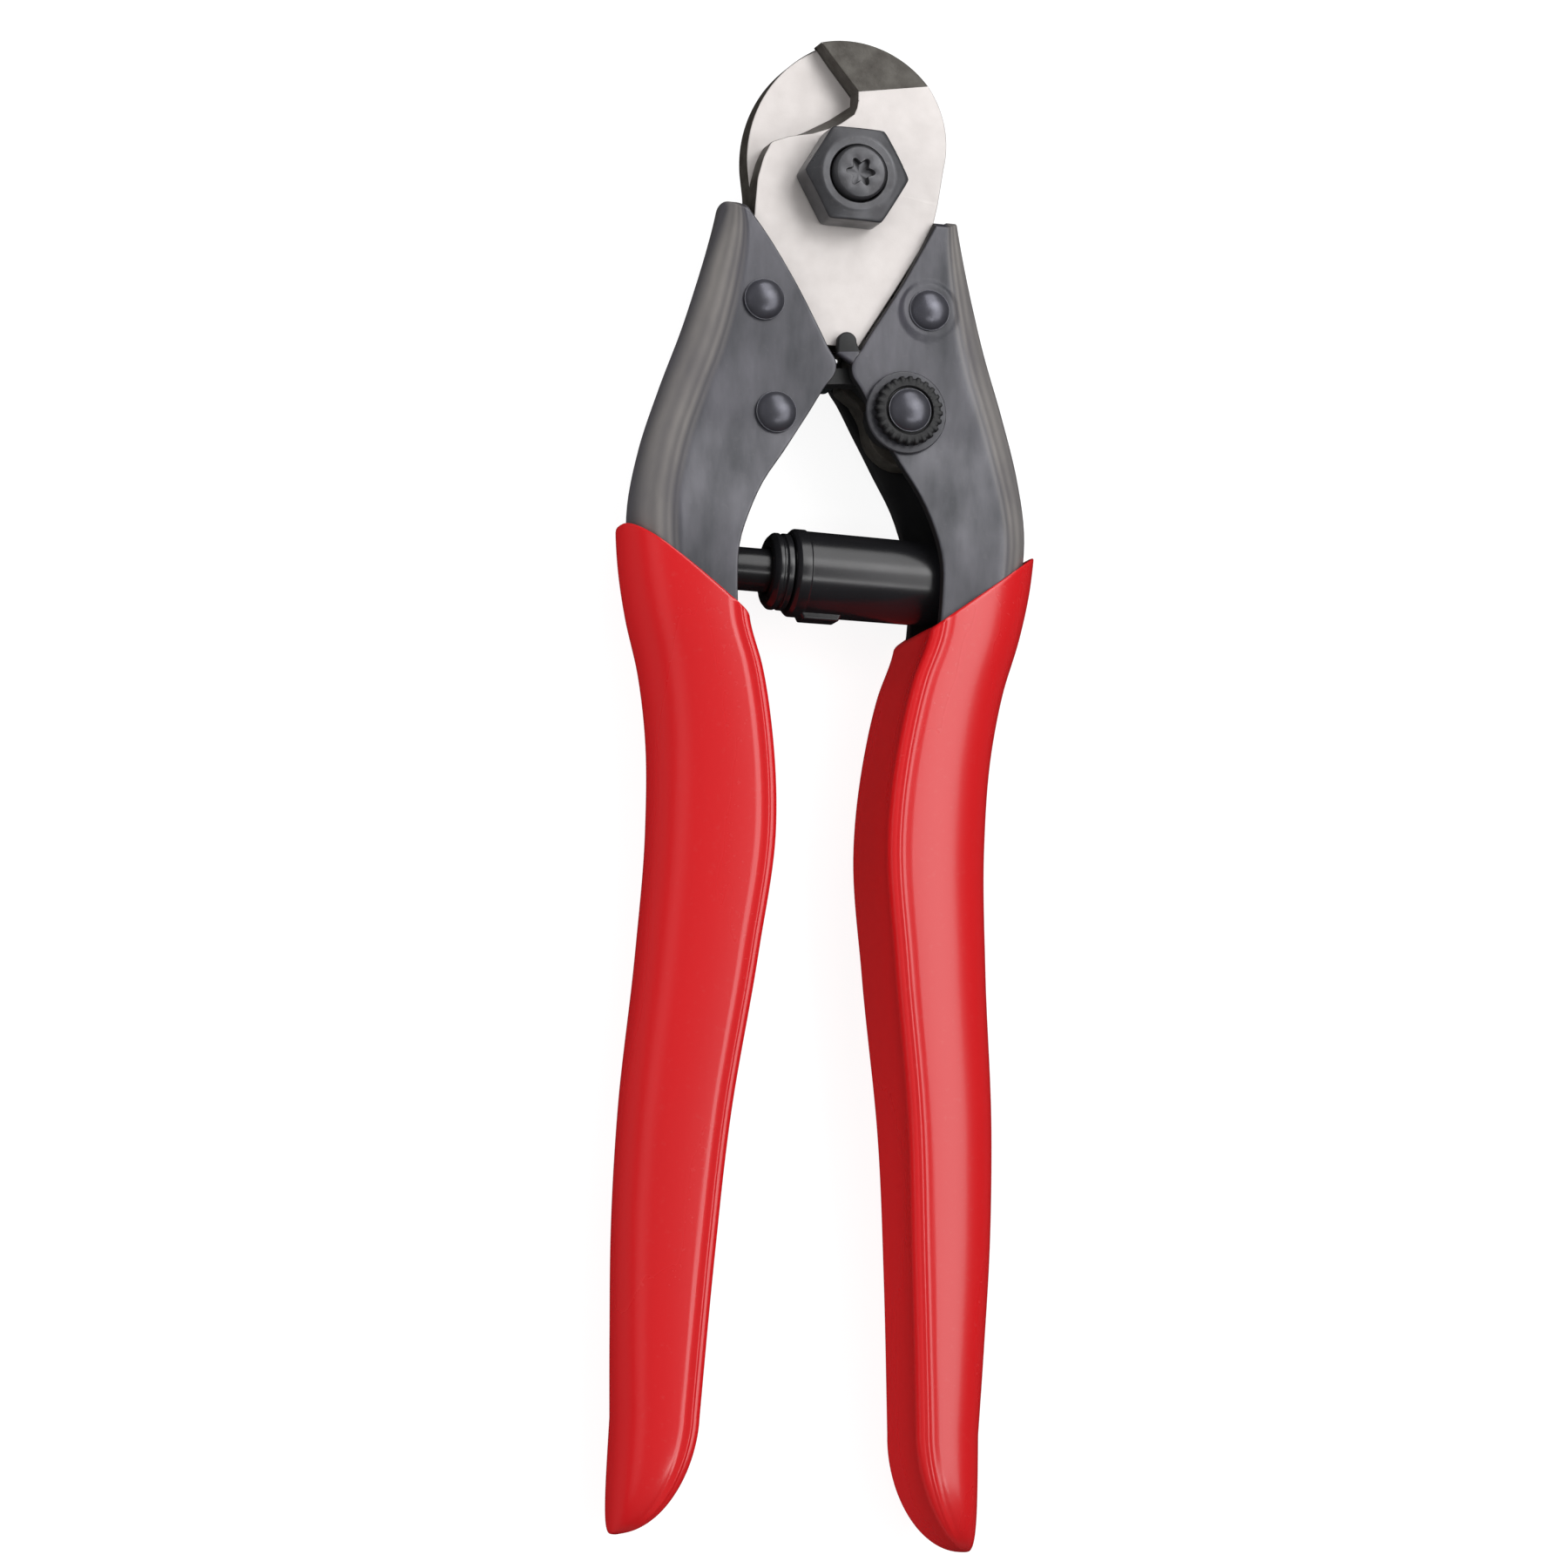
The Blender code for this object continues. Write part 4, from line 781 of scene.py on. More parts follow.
@dataclass(frozen=True)
class Channel:
    """Cross-sections of the pressed channel: two cheeks joined by a half-elliptical back."""

    side: int
    bulge: float = 8.0 * MM
    widening: float = 1.85 * MM
    spine_points: tuple = (
        (-4.9, 15.45), (-12, 17.5), (-20, 19.8), (-28, 22.5), (-36, 24.8), (-44, 25.9), (-50, 25.5),
        (-57, 24.2), (-64, 22.3), (-72, 21.0), (-84, 20.5), (-100, 21.2), (-120, 22.7), (-134, 23.0),
        (-148, 22.6), (-162, 22.0),
    )
    lip_points: tuple = (
        (-13.4, 7.1), (-20.4, 3.0), (-22.2, 2.0), (-23.6, 1.1), (-25.2, 1.1), (-27.0, 2.3), (-31, 4.6),
        (-36, 7.6), (-40, 10.2), (-44, 12.0), (-48, 13.2), (-53, 13.4), (-58, 13.0),
        (-64, 11.1), (-72, 9.5), (-84, 8.5), (-100, 10.1), (-120, 12.7), (-138, 14.0), (-162, 15.4),
    )
    flare: tuple = (
        (-26, 0.0), (-30, 0.0), (-34, 0.03), (-37, 0.22), (-40, 0.5), (-44, 0.84), (-50, 1.0), (-60, 1.0),
        (-78, 0.84), (-111, 0.51), (-133, 0.08), (-162, 0.03),
    )

    def spine(self, y: Array) -> Array:
        """X of the back."""
        return smooth_curve(self.spine_points, y)

    def lip(self, y: Array) -> Array:
        """X of the open side's edges."""
        top = ((-4.9, 11.5),) if self.side > 0 else ((-4.9, 13.4), (-7.8, 11.0))
        return smooth_curve(top + self.lip_points, y)

    def depth(self, y: Array) -> Array:
        """Half the outside depth."""
        return SHEET_OUT + self.widening * smooth_curve(self.flare, y, unit=1.0)

    def run(self, y: Array, inset: Array | float, u: Array, lip_room: float) -> tuple[Array, Array]:
        """X and height along the channel, from the front lip round the back to the rear lip.

        The cheek keeps the depth from the lip to the back's start; the back is half an ellipse.

        Args:
            y: Places along the handle, broadcast against u.
            inset: How far the run lies inside the outside face.
            u: 0 to 1 down the front cheek, 1 to 2 round the back, 2 to 3 up the rear cheek.
            lip_room: How far from the lip the cheeks start.

        Returns:
            (x, height).
        """
        spine, lip, depth = self.spine(y), self.lip(y), self.depth(y)
        width = spine - lip
        reach = self.bulge * width / (width + self.bulge)
        inward = np.minimum(reach**2 / (reach + 2 * np.maximum(inset, 0.0)), 0.9 * (width - inset))
        inner = np.where(np.asarray(inset) > 0, inward, reach - inset)
        centre = spine - inset - inner
        lip = lip + np.minimum(inset, 0.0) + lip_room
        angle = math.pi / 2 - math.pi * np.clip(u - 1.0, 0.0, 1.0)
        away = 1.0 - np.clip(u, 0.0, 1.0) + np.clip(u - 2.0, 0.0, 1.0)
        return centre + inner * np.cos(angle) - away * (centre - lip), (depth - inset) * np.sin(angle)


@dataclass
class Handle:
    """A pressed channel handle: sheet with rounded lips, a slanted top, real holes and an ear."""

    side: int
    sheet: float = 1.5 * MM
    lip_r: float = 0.25 * MM
    top: float = -4.9 * MM
    top_rise: float = 1.5 * MM
    top_ease: float = -14.0 * MM
    end: float = -162.0 * MM
    pad_r: float = 3.9 * MM
    pad_rise: float = 0.22 * MM
    pad_ease: float = 0.35 * MM
    ear_at: tuple = (0.35, -21.0)
    ear_r: float = 1.25
    ear_root: tuple = ((-0.9, -22.6), (3.4, -25.0), (3.4, -22.4), (2.0, -22.0))
    boss_r: float = 3.2 * MM

    def rows(self) -> tuple[Array, Array]:
        """Y of each row and how far its loop shrinks, which rounds the sheet's top edge."""
        angle = quarter_turn(5)
        shrink = self.lip_r * (1 - np.sin(angle))
        y = self.top - self.lip_r * (1 - np.cos(angle))
        dense = np.arange(y[-1] - 0.35 * MM, -36 * MM, -0.35 * MM)
        sparse = np.linspace(-36 * MM, self.end, 90)
        return np.concatenate([y, dense, sparse]), np.concatenate([shrink, np.zeros(len(dense) + 90)])

    def lip_edge(self, lip: Array, depth: Array, sheet: Array) -> tuple[Array, Array]:
        """The rounded edge of the sheet at the rear lip, from the outside to the inside."""
        a = quarter_turn(5)[None, :]
        r = self.lip_r
        outer = lip + r * (1 - np.sin(a[:, 1:])), -(depth - r + r * np.cos(a[:, 1:]))
        inner = lip + r * (1 - np.cos(a[:, :-1])), -(depth - sheet + r - r * np.sin(a[:, :-1]))
        return np.hstack([outer[0], inner[0]]), np.hstack([outer[1], inner[1]])

    def loops(self, channel: Channel) -> Array:
        """Points of the closed loops round the sheet, as (rows, columns, 3)."""
        y, shrink = (column[:, None] for column in self.rows())
        u = np.concatenate([np.linspace(0, 1, 37)[:-1], np.linspace(1, 2, 41), np.linspace(2, 3, 37)[1:]])
        out_x, out_z = channel.run(y, shrink, u[None, :], self.lip_r)
        in_x, in_z = channel.run(y, self.sheet - shrink, u[None, ::-1], self.lip_r)
        depth, lip = channel.depth(y) - shrink, channel.lip(y) + 0.0 * shrink
        edge_x, edge_z = self.lip_edge(lip, depth, self.sheet - 2 * shrink)
        x = np.hstack([out_x, edge_x, in_x, edge_x[:, ::-1]])
        z = np.hstack([out_z, edge_z, in_z, -edge_z[:, ::-1]])
        lift = self.top_rise * np.maximum(0.0, (y - self.top_ease) / (self.top - self.top_ease)) ** 2
        ys = y + lift * (1 - np.minimum(1.0, np.abs(z) / depth) ** 2)
        if self.side > 0:
            far = np.hypot(x - UPPER_RIVET[1][0], ys - UPPER_RIVET[1][1])
            t = np.clip((self.pad_r - far) / self.pad_ease, 0.0, 1.0)
            t[:, len(u) // 2 :] = 0.0
            z = z + self.pad_rise * t * t * (3 - 2 * t)
        quarter = edge_x.shape[1] // 2
        return np.roll(np.stack([self.side * x, ys, z + SHEAR_Z], axis=-1), quarter, axis=1)

    def ear(self) -> Piece:
        """The small hooked ear on the right handle's front cheek."""
        line = np.concatenate([arc(self.ear_at, self.ear_r, 0, 180, 17), np.array(self.ear_root)]) * MM
        points, faces = plate(line, SHEET_IN + 0.1 * MM, SHEET_OUT - 0.1 * MM, 0.25 * MM)
        return solid("ear", points, faces)

    def mark_shaded_faces(self, obj: Piece) -> None:
        """Puts the sheet's cut edges, its inside and the ear in the second slot, which is near-black painted
        shade.
        """
        (x, y, z), (nx, _, nz) = face_table(obj)
        channel = Channel(self.side)
        at_lip = (self.side * x < channel.lip(y) + 0.6 * MM) & (nx * self.side < -0.6)
        middle = 0.7 * channel.lip(y) + 0.3 * channel.spine(y)
        inside = nx * (x - self.side * middle) + nz * (z - SHEAR_Z) < -0.2 * MM
        on_ear = (y > -22.3 * MM) & (np.abs(x) < 2.0 * MM) & (self.side > 0)
        # Near-black painted shade on the lip edges, the channel's inside and the ear.
        dark = (at_lip | inside | on_ear).astype(np.int32)
        obj.data.polygons.foreach_set("material_index", dark)

    def mark_back(self, obj: Piece) -> None:
        """Stores at each point how far it lies across the rounded back: 0 at its start, 1 at the spine."""
        place = np.empty(3 * len(obj.data.vertices))
        obj.data.vertices.foreach_get("co", place)
        x, y, _ = place.reshape(-1, 3).T
        channel = Channel(self.side)
        width = channel.spine(y) - channel.lip(y)
        reach = channel.bulge * width / (width + channel.bulge)
        across = np.clip((self.side * x - channel.spine(y) + reach) / reach, 0.0, 1.0)
        stored = obj.data.attributes.new("across back", "FLOAT", "POINT")
        stored.data.foreach_set("value", across.astype(np.float32))

    def build(self) -> Piece:
        """Builds, dresses and fits the handle."""
        side = "right" if self.side > 0 else "left"
        points = self.loops(Channel(self.side))
        rows, columns = points.shape[:2]
        k = np.arange(columns // 2 - 1)
        cap = np.stack([k, k + 1, columns - 2 - k, columns - 1 - k], axis=-1)
        faces = np.concatenate([grid_faces(rows, columns), cap, cap + (rows - 1) * columns])
        obj = solid(f"{side}_handle_shown", points.reshape(-1, 3), faces.tolist())
        reach, bore, lower = SHEET_OUT + 4 * MM, RIVET_R + GAP, LOWER_RIVET[self.side]
        cutters = [drill(bore, UPPER_RIVET[self.side], -reach, reach)]
        if self.side > 0:
            cut(obj, self.ear(), join=True)
            cutters += [drill(bore, lower, -reach, 0.0), drill(self.boss_r + GAP, lower, 0.0, reach)]
        else:
            cutters.append(drill(bore, lower, -reach, reach))
        cutters.append(drill(PIN_R + GAP, (self.side * PIN_AT[0], PIN_AT[1]), -reach, reach))
        cut(obj, *cutters)
        shade(obj, 40.0)
        self.mark_shaded_faces(obj)
        self.mark_back(obj)
        return fit(obj, f"{side}_half", Look.PAINTED_STEEL, Look.PAINTED_SHADE)


@dataclass
class Grip:
    """A dipped vinyl sleeve: beaded lips, a hollow open side, a slanted mouth and a closed tip."""

    side: int
    wall: float = 0.9 * MM
    lip_turn: float = 0.9 * MM
    hollow: float = 0.4 * MM
    bead: float = 0.2 * MM
    groove: float = 0.12 * MM
    bead_width: float = 0.8 * MM
    crown: float = 2.8
    mouth_back: tuple = (26.9 * MM, -46.4 * MM)
    mouth_lip: tuple = (13.0 * MM, -56.9 * MM)
    level: float = -66.0 * MM
    tip_from: float = -158.0 * MM
    tip_long: float = 14.6 * MM
    tip_x: float = 22.6 * MM
    cavity_end: float = -162.3 * MM
    cheek_steps: int = 34
    turn_steps: int = 6
    web_steps: int = 16

    def pattern(self) -> tuple[Array, ...]:
        """Shares for each point round the grip, from the front lip over the back and across the web.

        Returns:
            Share of the way to the spine, side (1 front, -1 rear), share turned inwards at a lip,
            share dropped from the full depth there, and share of the web's dip.
        """
        n = self.cheek_steps
        t = np.sin(quarter_turn(n + 1)) ** 2
        beta = quarter_turn(self.turn_steps + 1)[1:]
        flat = np.linspace(-1, 1, self.web_steps + 1)[1:-1]
        cheeks, turn, level = np.zeros(2 * n + 1), np.zeros(len(beta)), np.ones(len(flat))
        along = np.concatenate([t, t[-2::-1], turn, 0 * level, turn])
        side = np.concatenate([np.ones(n), [0.0], -np.ones(n), turn - 1, flat, turn + 1])
        inward = np.concatenate([cheeks, np.sin(beta), level, np.sin(beta[::-1])])
        drop = np.concatenate([cheeks, 1 - np.cos(beta), level, 1 - np.cos(beta[::-1])])
        return along, side, inward, drop, np.concatenate([cheeks, turn, 1 - flat**2, turn])

    def outer(self, lip: Array, spine: Array, depth: Array, ease: Array | float = 1.0) -> tuple[Array, Array]:
        """X and height round the outside.

        With t from 0 at the lip to 1 at the spine, the height is depth (1 - t^crown)^(1/crown). A
        sine-squared bead and a groove run along each lip, and the web dips as a parabola.

        Args:
            lip: X of the web's face.
            spine: X of the back.
            depth: Half the depth.
            ease: Shares of the lip's rounding, bead and dip, which fade towards the tip.

        Returns:
            (x, height), one column for each point round the grip.
        """
        along, side, inward, drop, dip = self.pattern()
        turn = self.lip_turn * ease
        out = along * (spine - lip - turn)
        bead = self.bead * np.sin(np.pi * np.clip(out / self.bead_width, 0, 1)) ** 2
        bead -= self.groove * np.sin(np.pi * np.clip(out / self.bead_width - 1, 0, 1)) ** 2
        rise = (1 - along**self.crown) ** (1 / self.crown)
        x = lip + turn * (1 - inward) + out + self.hollow * ease * dip
        return x, side * (depth * rise - turn * drop + bead * ease)

    def outer_at(self, channel: Channel, y: Array) -> tuple[Array, Array]:
        """The outside at places along the grip."""
        step = GAP + self.wall
        return self.outer(channel.lip(y) - step, channel.spine(y) + step, channel.depth(y) + step)

    def inner_at(self, channel: Channel, y: Array) -> tuple[Array, Array]:
        """The cavity, which follows the channel a gap away and bridges its open side."""
        _, side, inward, drop, _ = self.pattern()
        turn, cheeks = 0.4 * MM, 2 * self.cheek_steps + 1
        y = np.broadcast_to(y, (y.shape[0], len(side)))
        x = channel.lip(y) - GAP + turn * (1 - inward)
        z = side * (channel.depth(y) + GAP - turn * drop)
        x[:, :cheeks], z[:, :cheeks] = channel.run(y[:, :cheeks], -GAP, np.linspace(0, 3, cheeks)[None], turn)
        return x, z

    def mouth(self, section: Callable, channel: Channel) -> Array:
        """Y at which each column of a section meets the slanted mouth plane, by repeated substitution."""
        (bx, by), (lx, ly) = self.mouth_back, self.mouth_lip
        y = np.full((1, len(self.pattern()[0])), ly)
        for _ in range(14):
            y = by + (ly - by) / (lx - bx) * (section(channel, y)[0] - bx)
        return y

    def tip(self, channel: Channel) -> tuple[Array, Array, Array]:
        """Points of the closed tip, row by row away from the grip: each side runs out on its own curve."""
        s = np.sin(quarter_turn(30))[1:, None]
        start, step = np.array([[self.tip_from]]), GAP + self.wall
        lip = channel.lip(start) - step
        lip = lip + (self.tip_x - lip) * (1 - (1 - s**1.8) ** (1 / 1.8))
        spine = channel.spine(start) + step + 0.3 * MM * s
        spine = spine + (self.tip_x - spine) * (1 - (1 - s**5) ** 0.2)
        depth = (channel.depth(start) + step) * (1 - s**2.8) ** (1 / 2.8)
        x, z = self.outer(lip, spine, depth, np.minimum(1.0, (spine - lip) / (4 * MM)) * (1 - s**4))
        return x, self.tip_from - self.tip_long * s + 0.0 * x, z

    def rim(self, channel: Channel, mouth_out: Array, mouth_in: Array) -> tuple[Array, Array, Array]:
        """Points of the half-round rim at the mouth, from the outside to the inside."""
        phi = np.linspace(0.0, math.pi, 9)[1:-1, None]
        w = (1 + np.cos(phi)) / 2
        y = w * mouth_out + (1 - w) * mouth_in + self.wall / 2 * np.sin(phi)
        (ox, oz), (ix, iz) = self.outer_at(channel, y), self.inner_at(channel, y)
        return w * ox + (1 - w) * ix, y, w * oz + (1 - w) * iz

    def build(self) -> Piece:
        """Builds, dresses and fits the grip."""
        channel = Channel(1)
        mouth_out, mouth_in = self.mouth(self.outer_at, channel), self.mouth(self.inner_at, channel)
        slant = np.linspace(0.0, 1.0, 26)[:, None] ** 1.2
        square = np.linspace(self.level, self.tip_from, 64)[1:, None]
        y = np.vstack([mouth_out + slant * (self.level - mouth_out), square + 0.0 * mouth_out])[::-1]
        deep = np.linspace(self.level, self.cavity_end, 40)[1:, None]
        in_y = np.vstack([mouth_in + slant[::3] * (self.level - mouth_in), deep + 0.0 * mouth_in])
        (x, z), (in_x, in_z) = self.outer_at(channel, y), self.inner_at(channel, in_y)
        tip, rim = (a[::-1] for a in self.tip(channel)), self.rim(channel, mouth_out, mouth_in)
        end = (self.tip_x, self.tip_from - self.tip_long, 0.0)
        sets = zip(end, tip, (x, y, z), rim, (in_x, in_y, in_z))
        parts = [
            np.vstack([np.full_like(x[:1], a), b, c, d, e, np.full_like(x[:1], e[-1].mean())])
            for a, b, c, d, e in sets
        ]
        points = np.stack([self.side * parts[0], parts[1], parts[2] + SHEAR_Z], axis=-1)
        side = "right" if self.side > 0 else "left"
        faces = grid_faces(*points.shape[:2]).tolist()
        obj = solid(f"{side}_grip_shown", points.reshape(-1, 3), faces, 60.0)
        return fit(obj, f"{side}_half", Look.RED_VINYL)


@dataclass
class Rivet:
    """A rivet with a domed head on each side, each ending in a thin flange."""

    name: str
    at: tuple[float, float]
    body: str
    front_base: float = SHEET_OUT + GAP
    back_base: float = -SHEET_OUT - GAP
    head_r: float = 2.65 * MM
    head_t: float = 1.35 * MM

    def head(self) -> Array:
        """(radius, height over the base) from the crown out and down to the shank."""
        angle = np.linspace(math.pi / 2, 0.16, 14)
        dome = np.column_stack([self.head_r * np.cos(angle) * 0.985, self.head_t * np.sin(angle)])
        dome[0, 0] = 0.0
        rim = np.array([(0.99, 0.16), (1.0, 0.08), (0.985, 0.0)]) * (self.head_r, self.head_t)
        return np.vstack([dome, rim, [(RIVET_R, 0.0)]])

    def build(self) -> Piece:
        """Builds, dresses and fits the rivet."""
        front, back = self.head(), self.head()[::-1]
        front = front + (0.0, self.front_base)
        back = back * (1.0, -1.0) + (0.0, self.back_base)
        obj = spun(self.name + "_shown", np.vstack([front, back]), 56, self.at)
        return fit(obj, self.body, Look.RIVET_STEEL)


@dataclass
class Latch:
    """The turn button with its collar and the rivet that it turns on."""

    at: tuple[float, float] = LOWER_RIVET[1]
    low: float = 6.8 * MM
    thick: float = 1.2 * MM
    radius: float = 4.45 * MM
    tooth: float = 0.26 * MM
    serration: float = 0.08 * MM
    teeth: int = 24
    recess: float = 0.45 * MM
    recess_r: float = 3.05 * MM
    boss_r: float = 3.2 * MM
    boss_low: float = 3.95 * MM
    collar_r: float = 5.3 * MM
    collar_low: float = 6.05 * MM
    collar_t: float = 0.45 * MM
    steps: int = 384

    def dial(self) -> Piece:
        """The button: a toothed rim, a serrated top ring and a recess round the rivet's head."""
        angle = full_turn(self.steps)
        wave = np.clip(2.2 * np.cos(self.teeth * angle), -1.0, 1.0) / 2 + 0.5
        rim = self.radius - self.tooth * (1 - wave)
        low, high, floor = self.low, self.low + self.thick, self.low + self.thick - self.recess
        bore, sink, recess = RIVET_R + GAP, self.serration * (1 - wave), self.recess_r
        rows = [
            (bore, self.boss_low), (self.boss_r, self.boss_low), (self.boss_r, low), (rim - 0.15 * MM, low),
            (rim, low + 0.15 * MM), (rim, high - 0.3 * MM - sink), (rim - 0.1 * MM, high - 0.1 * MM - sink),
            (rim - 0.3 * MM, high - sink), (3.75 * MM, high - 0.8 * sink), (3.55 * MM, high),
            (recess + 0.12 * MM, high), (recess, high - 0.12 * MM), (recess, floor), (bore, floor),
        ]
        return spun("latch_dial_shown", rows, self.steps, self.at, ring=True, smooth_deg=45.0)

    def collar(self) -> Piece:
        """The washer under the button, with rounded rims."""
        bore, low, high = self.boss_r + GAP, self.collar_low, self.collar_low + self.collar_t
        corners = [(bore, low), (self.collar_r, low), (self.collar_r, high), (bore, high)]
        profile = rounded(corners, [0.05 * MM, 0.1 * MM, 0.2 * MM, 0.05 * MM])
        return spun("latch_washer_shown", profile, 96, self.at, ring=True)

    def build(self) -> None:
        """Builds, dresses and fits the button, its collar and its rivet."""
        fit(self.dial(), "latch", Look.DIAL_BLACK, slot="black_oxide")
        fit(self.collar(), "right_half", Look.DARK_COLLAR, slot="bright_steel")
        base = self.low + self.thick - self.recess + GAP
        Rivet("latch_rivet", self.at, "right_half", base, head_r=2.8 * MM).build()


@dataclass
class Strut:
    """The telescopic strut: an outer sleeve, its end cap and a thin plunger."""

    mouth: float = -4.9 * MM
    mouth_r: float = 5.6 * MM
    end: float = 17.6 * MM
    end_r: float = 5.3 * MM
    cap_r: float = 4.9 * MM
    cap_to: float = -7.7 * MM
    plug_r: float = 4.0 * MM
    plug_t: float = 1.6 * MM
    plunger_r: float = 2.75 * MM
    plunger_wall: float = 0.55 * MM
    plunger_from: float = -15.6 * MM
    plunger_to: float = 15.6 * MM
    lug_r: float = 2.6 * MM
    lug_t: float = 6.4 * MM
    eye_slack: float = 0.45 * MM
    eye_wall: float = 0.95 * MM

    def lug(self, side: int, root_x: float, root_half: float, thick: float) -> Piece:
        """A lug from the strut's body to its pin, rounded about the pin."""
        at = (side * PIN_AT[0], PIN_AT[1])
        root = [(root_x, STRUT_Y + root_half), (root_x, STRUT_Y - root_half)]
        if side > 0:
            line = np.vstack([root, arc(at, self.lug_r, -100, 60, 24)])
        else:
            line = np.vstack([root[::-1], arc(at, PIN_R + self.eye_slack + self.eye_wall, 120, 280, 24)])
        points, faces = plate(line, -thick / 2, thick / 2, 0.3 * MM)
        return solid("lug", points, faces)

    def sleeve(self) -> Piece:
        """The outer tube, with a collar at its mouth and a rib along its lower side."""
        bore, socket = self.plunger_r + GAP, self.plug_r + GAP
        plug_at, bore_to = self.mouth + self.plug_t + GAP, self.plunger_to + 0.8 * MM
        waist = self.mouth + 1.9 * MM
        corners = [
            (0, self.end), (self.end_r - 0.9 * MM, self.end), (self.end_r, self.end - 0.9 * MM),
            (self.mouth_r - 0.16 * MM, waist + 0.14 * MM), (self.mouth_r - 0.16 * MM, waist),
            (self.mouth_r, waist - 0.16 * MM), (self.mouth_r, self.mouth + 0.4 * MM),
            (self.mouth_r - 0.4 * MM, self.mouth), (socket, self.mouth), (socket, plug_at),
            (bore, plug_at), (bore, bore_to), (0, bore_to),
        ]
        radii = np.array([0, 0.8, 0.8, 0.1, 0.1, 0.1, 0.3, 0.3, 0.1, 0.05, 0.1, 0.05, 0]) * MM
        obj = spun("spring_sleeve_shown", rounded(corners, radii, closed=False), 96, along_x=True)
        rib = np.array([(-3.6, -5.0), (-3.0, -6.05), (1.6, -6.0), (2.1, -5.0), (2.1, -4.0), (-3.6, -4.0)])
        line = rounded(rib * MM + (0.0, STRUT_Y), 0.3 * MM)
        points, faces = plate(line, -1.6 * MM, 1.6 * MM, 0.3 * MM)
        lug = self.lug(1, self.end - 0.6 * MM, 4.4 * MM, self.lug_t)
        cut(obj, lug, solid("rib", points, faces), join=True)
        cut(obj, drill(PIN_R + RUN_GAP, PIN_AT, -self.lug_t, self.lug_t))
        shade(obj, 40.0)
        return obj

    def cap(self) -> Piece:
        """The screwed-in end cap, with a grip groove round it."""
        bore, face = self.plunger_r + GAP, self.mouth - GAP
        plug_at = self.mouth + self.plug_t
        r, lip = self.cap_r, self.cap_to
        corners = [
            (self.plug_r, plug_at), (self.plug_r, face), (r, face), (r, face - 0.75 * MM),
            (r - 0.3 * MM, face - 0.9 * MM), (r - 0.3 * MM, face - 1.2 * MM), (r, face - 1.35 * MM),
            (r, lip + 0.6 * MM), (r - 0.6 * MM, lip), (bore, lip), (bore, plug_at),
        ]
        radii = np.array([0.1, 0.05, 0.15, 0.1, 0.1, 0.1, 0.1, 0.4, 0.4, 0.2, 0.1]) * MM
        return spun("sleeve_cap_shown", rounded(corners, radii), 96, ring=True, along_x=True)

    def plunger(self) -> Piece:
        """The thin stem with the eye at its end."""
        hollow, floor = self.plunger_r - self.plunger_wall, self.plunger_from + 1.2 * MM
        corners = [
            (0, floor), (hollow, floor), (hollow, self.plunger_to), (self.plunger_r, self.plunger_to),
            (self.plunger_r, self.plunger_from), (0, self.plunger_from),
        ]
        profile = rounded(corners, np.array([0, 0.2, 0.1, 0.2, 0.3, 0]) * MM, closed=False)
        obj = spun("plunger_shown", profile, 72, along_x=True)
        cut(obj, self.lug(-1, self.plunger_from + 0.6 * MM, 2.2 * MM, self.lug_t - 2.4 * MM), join=True)
        cut(obj, drill(PIN_R + self.eye_slack, (-PIN_AT[0], PIN_AT[1]), -self.lug_t, self.lug_t))
        shade(obj, 40.0)
        return obj

    def build(self) -> None:
        """Builds, dresses and fits the strut's three outer pieces."""
        for make, body in ((self.sleeve, "sleeve"), (self.cap, "sleeve"), (self.plunger, "plunger")):
            fit(make(), body, Look.BLACK_PLASTIC)


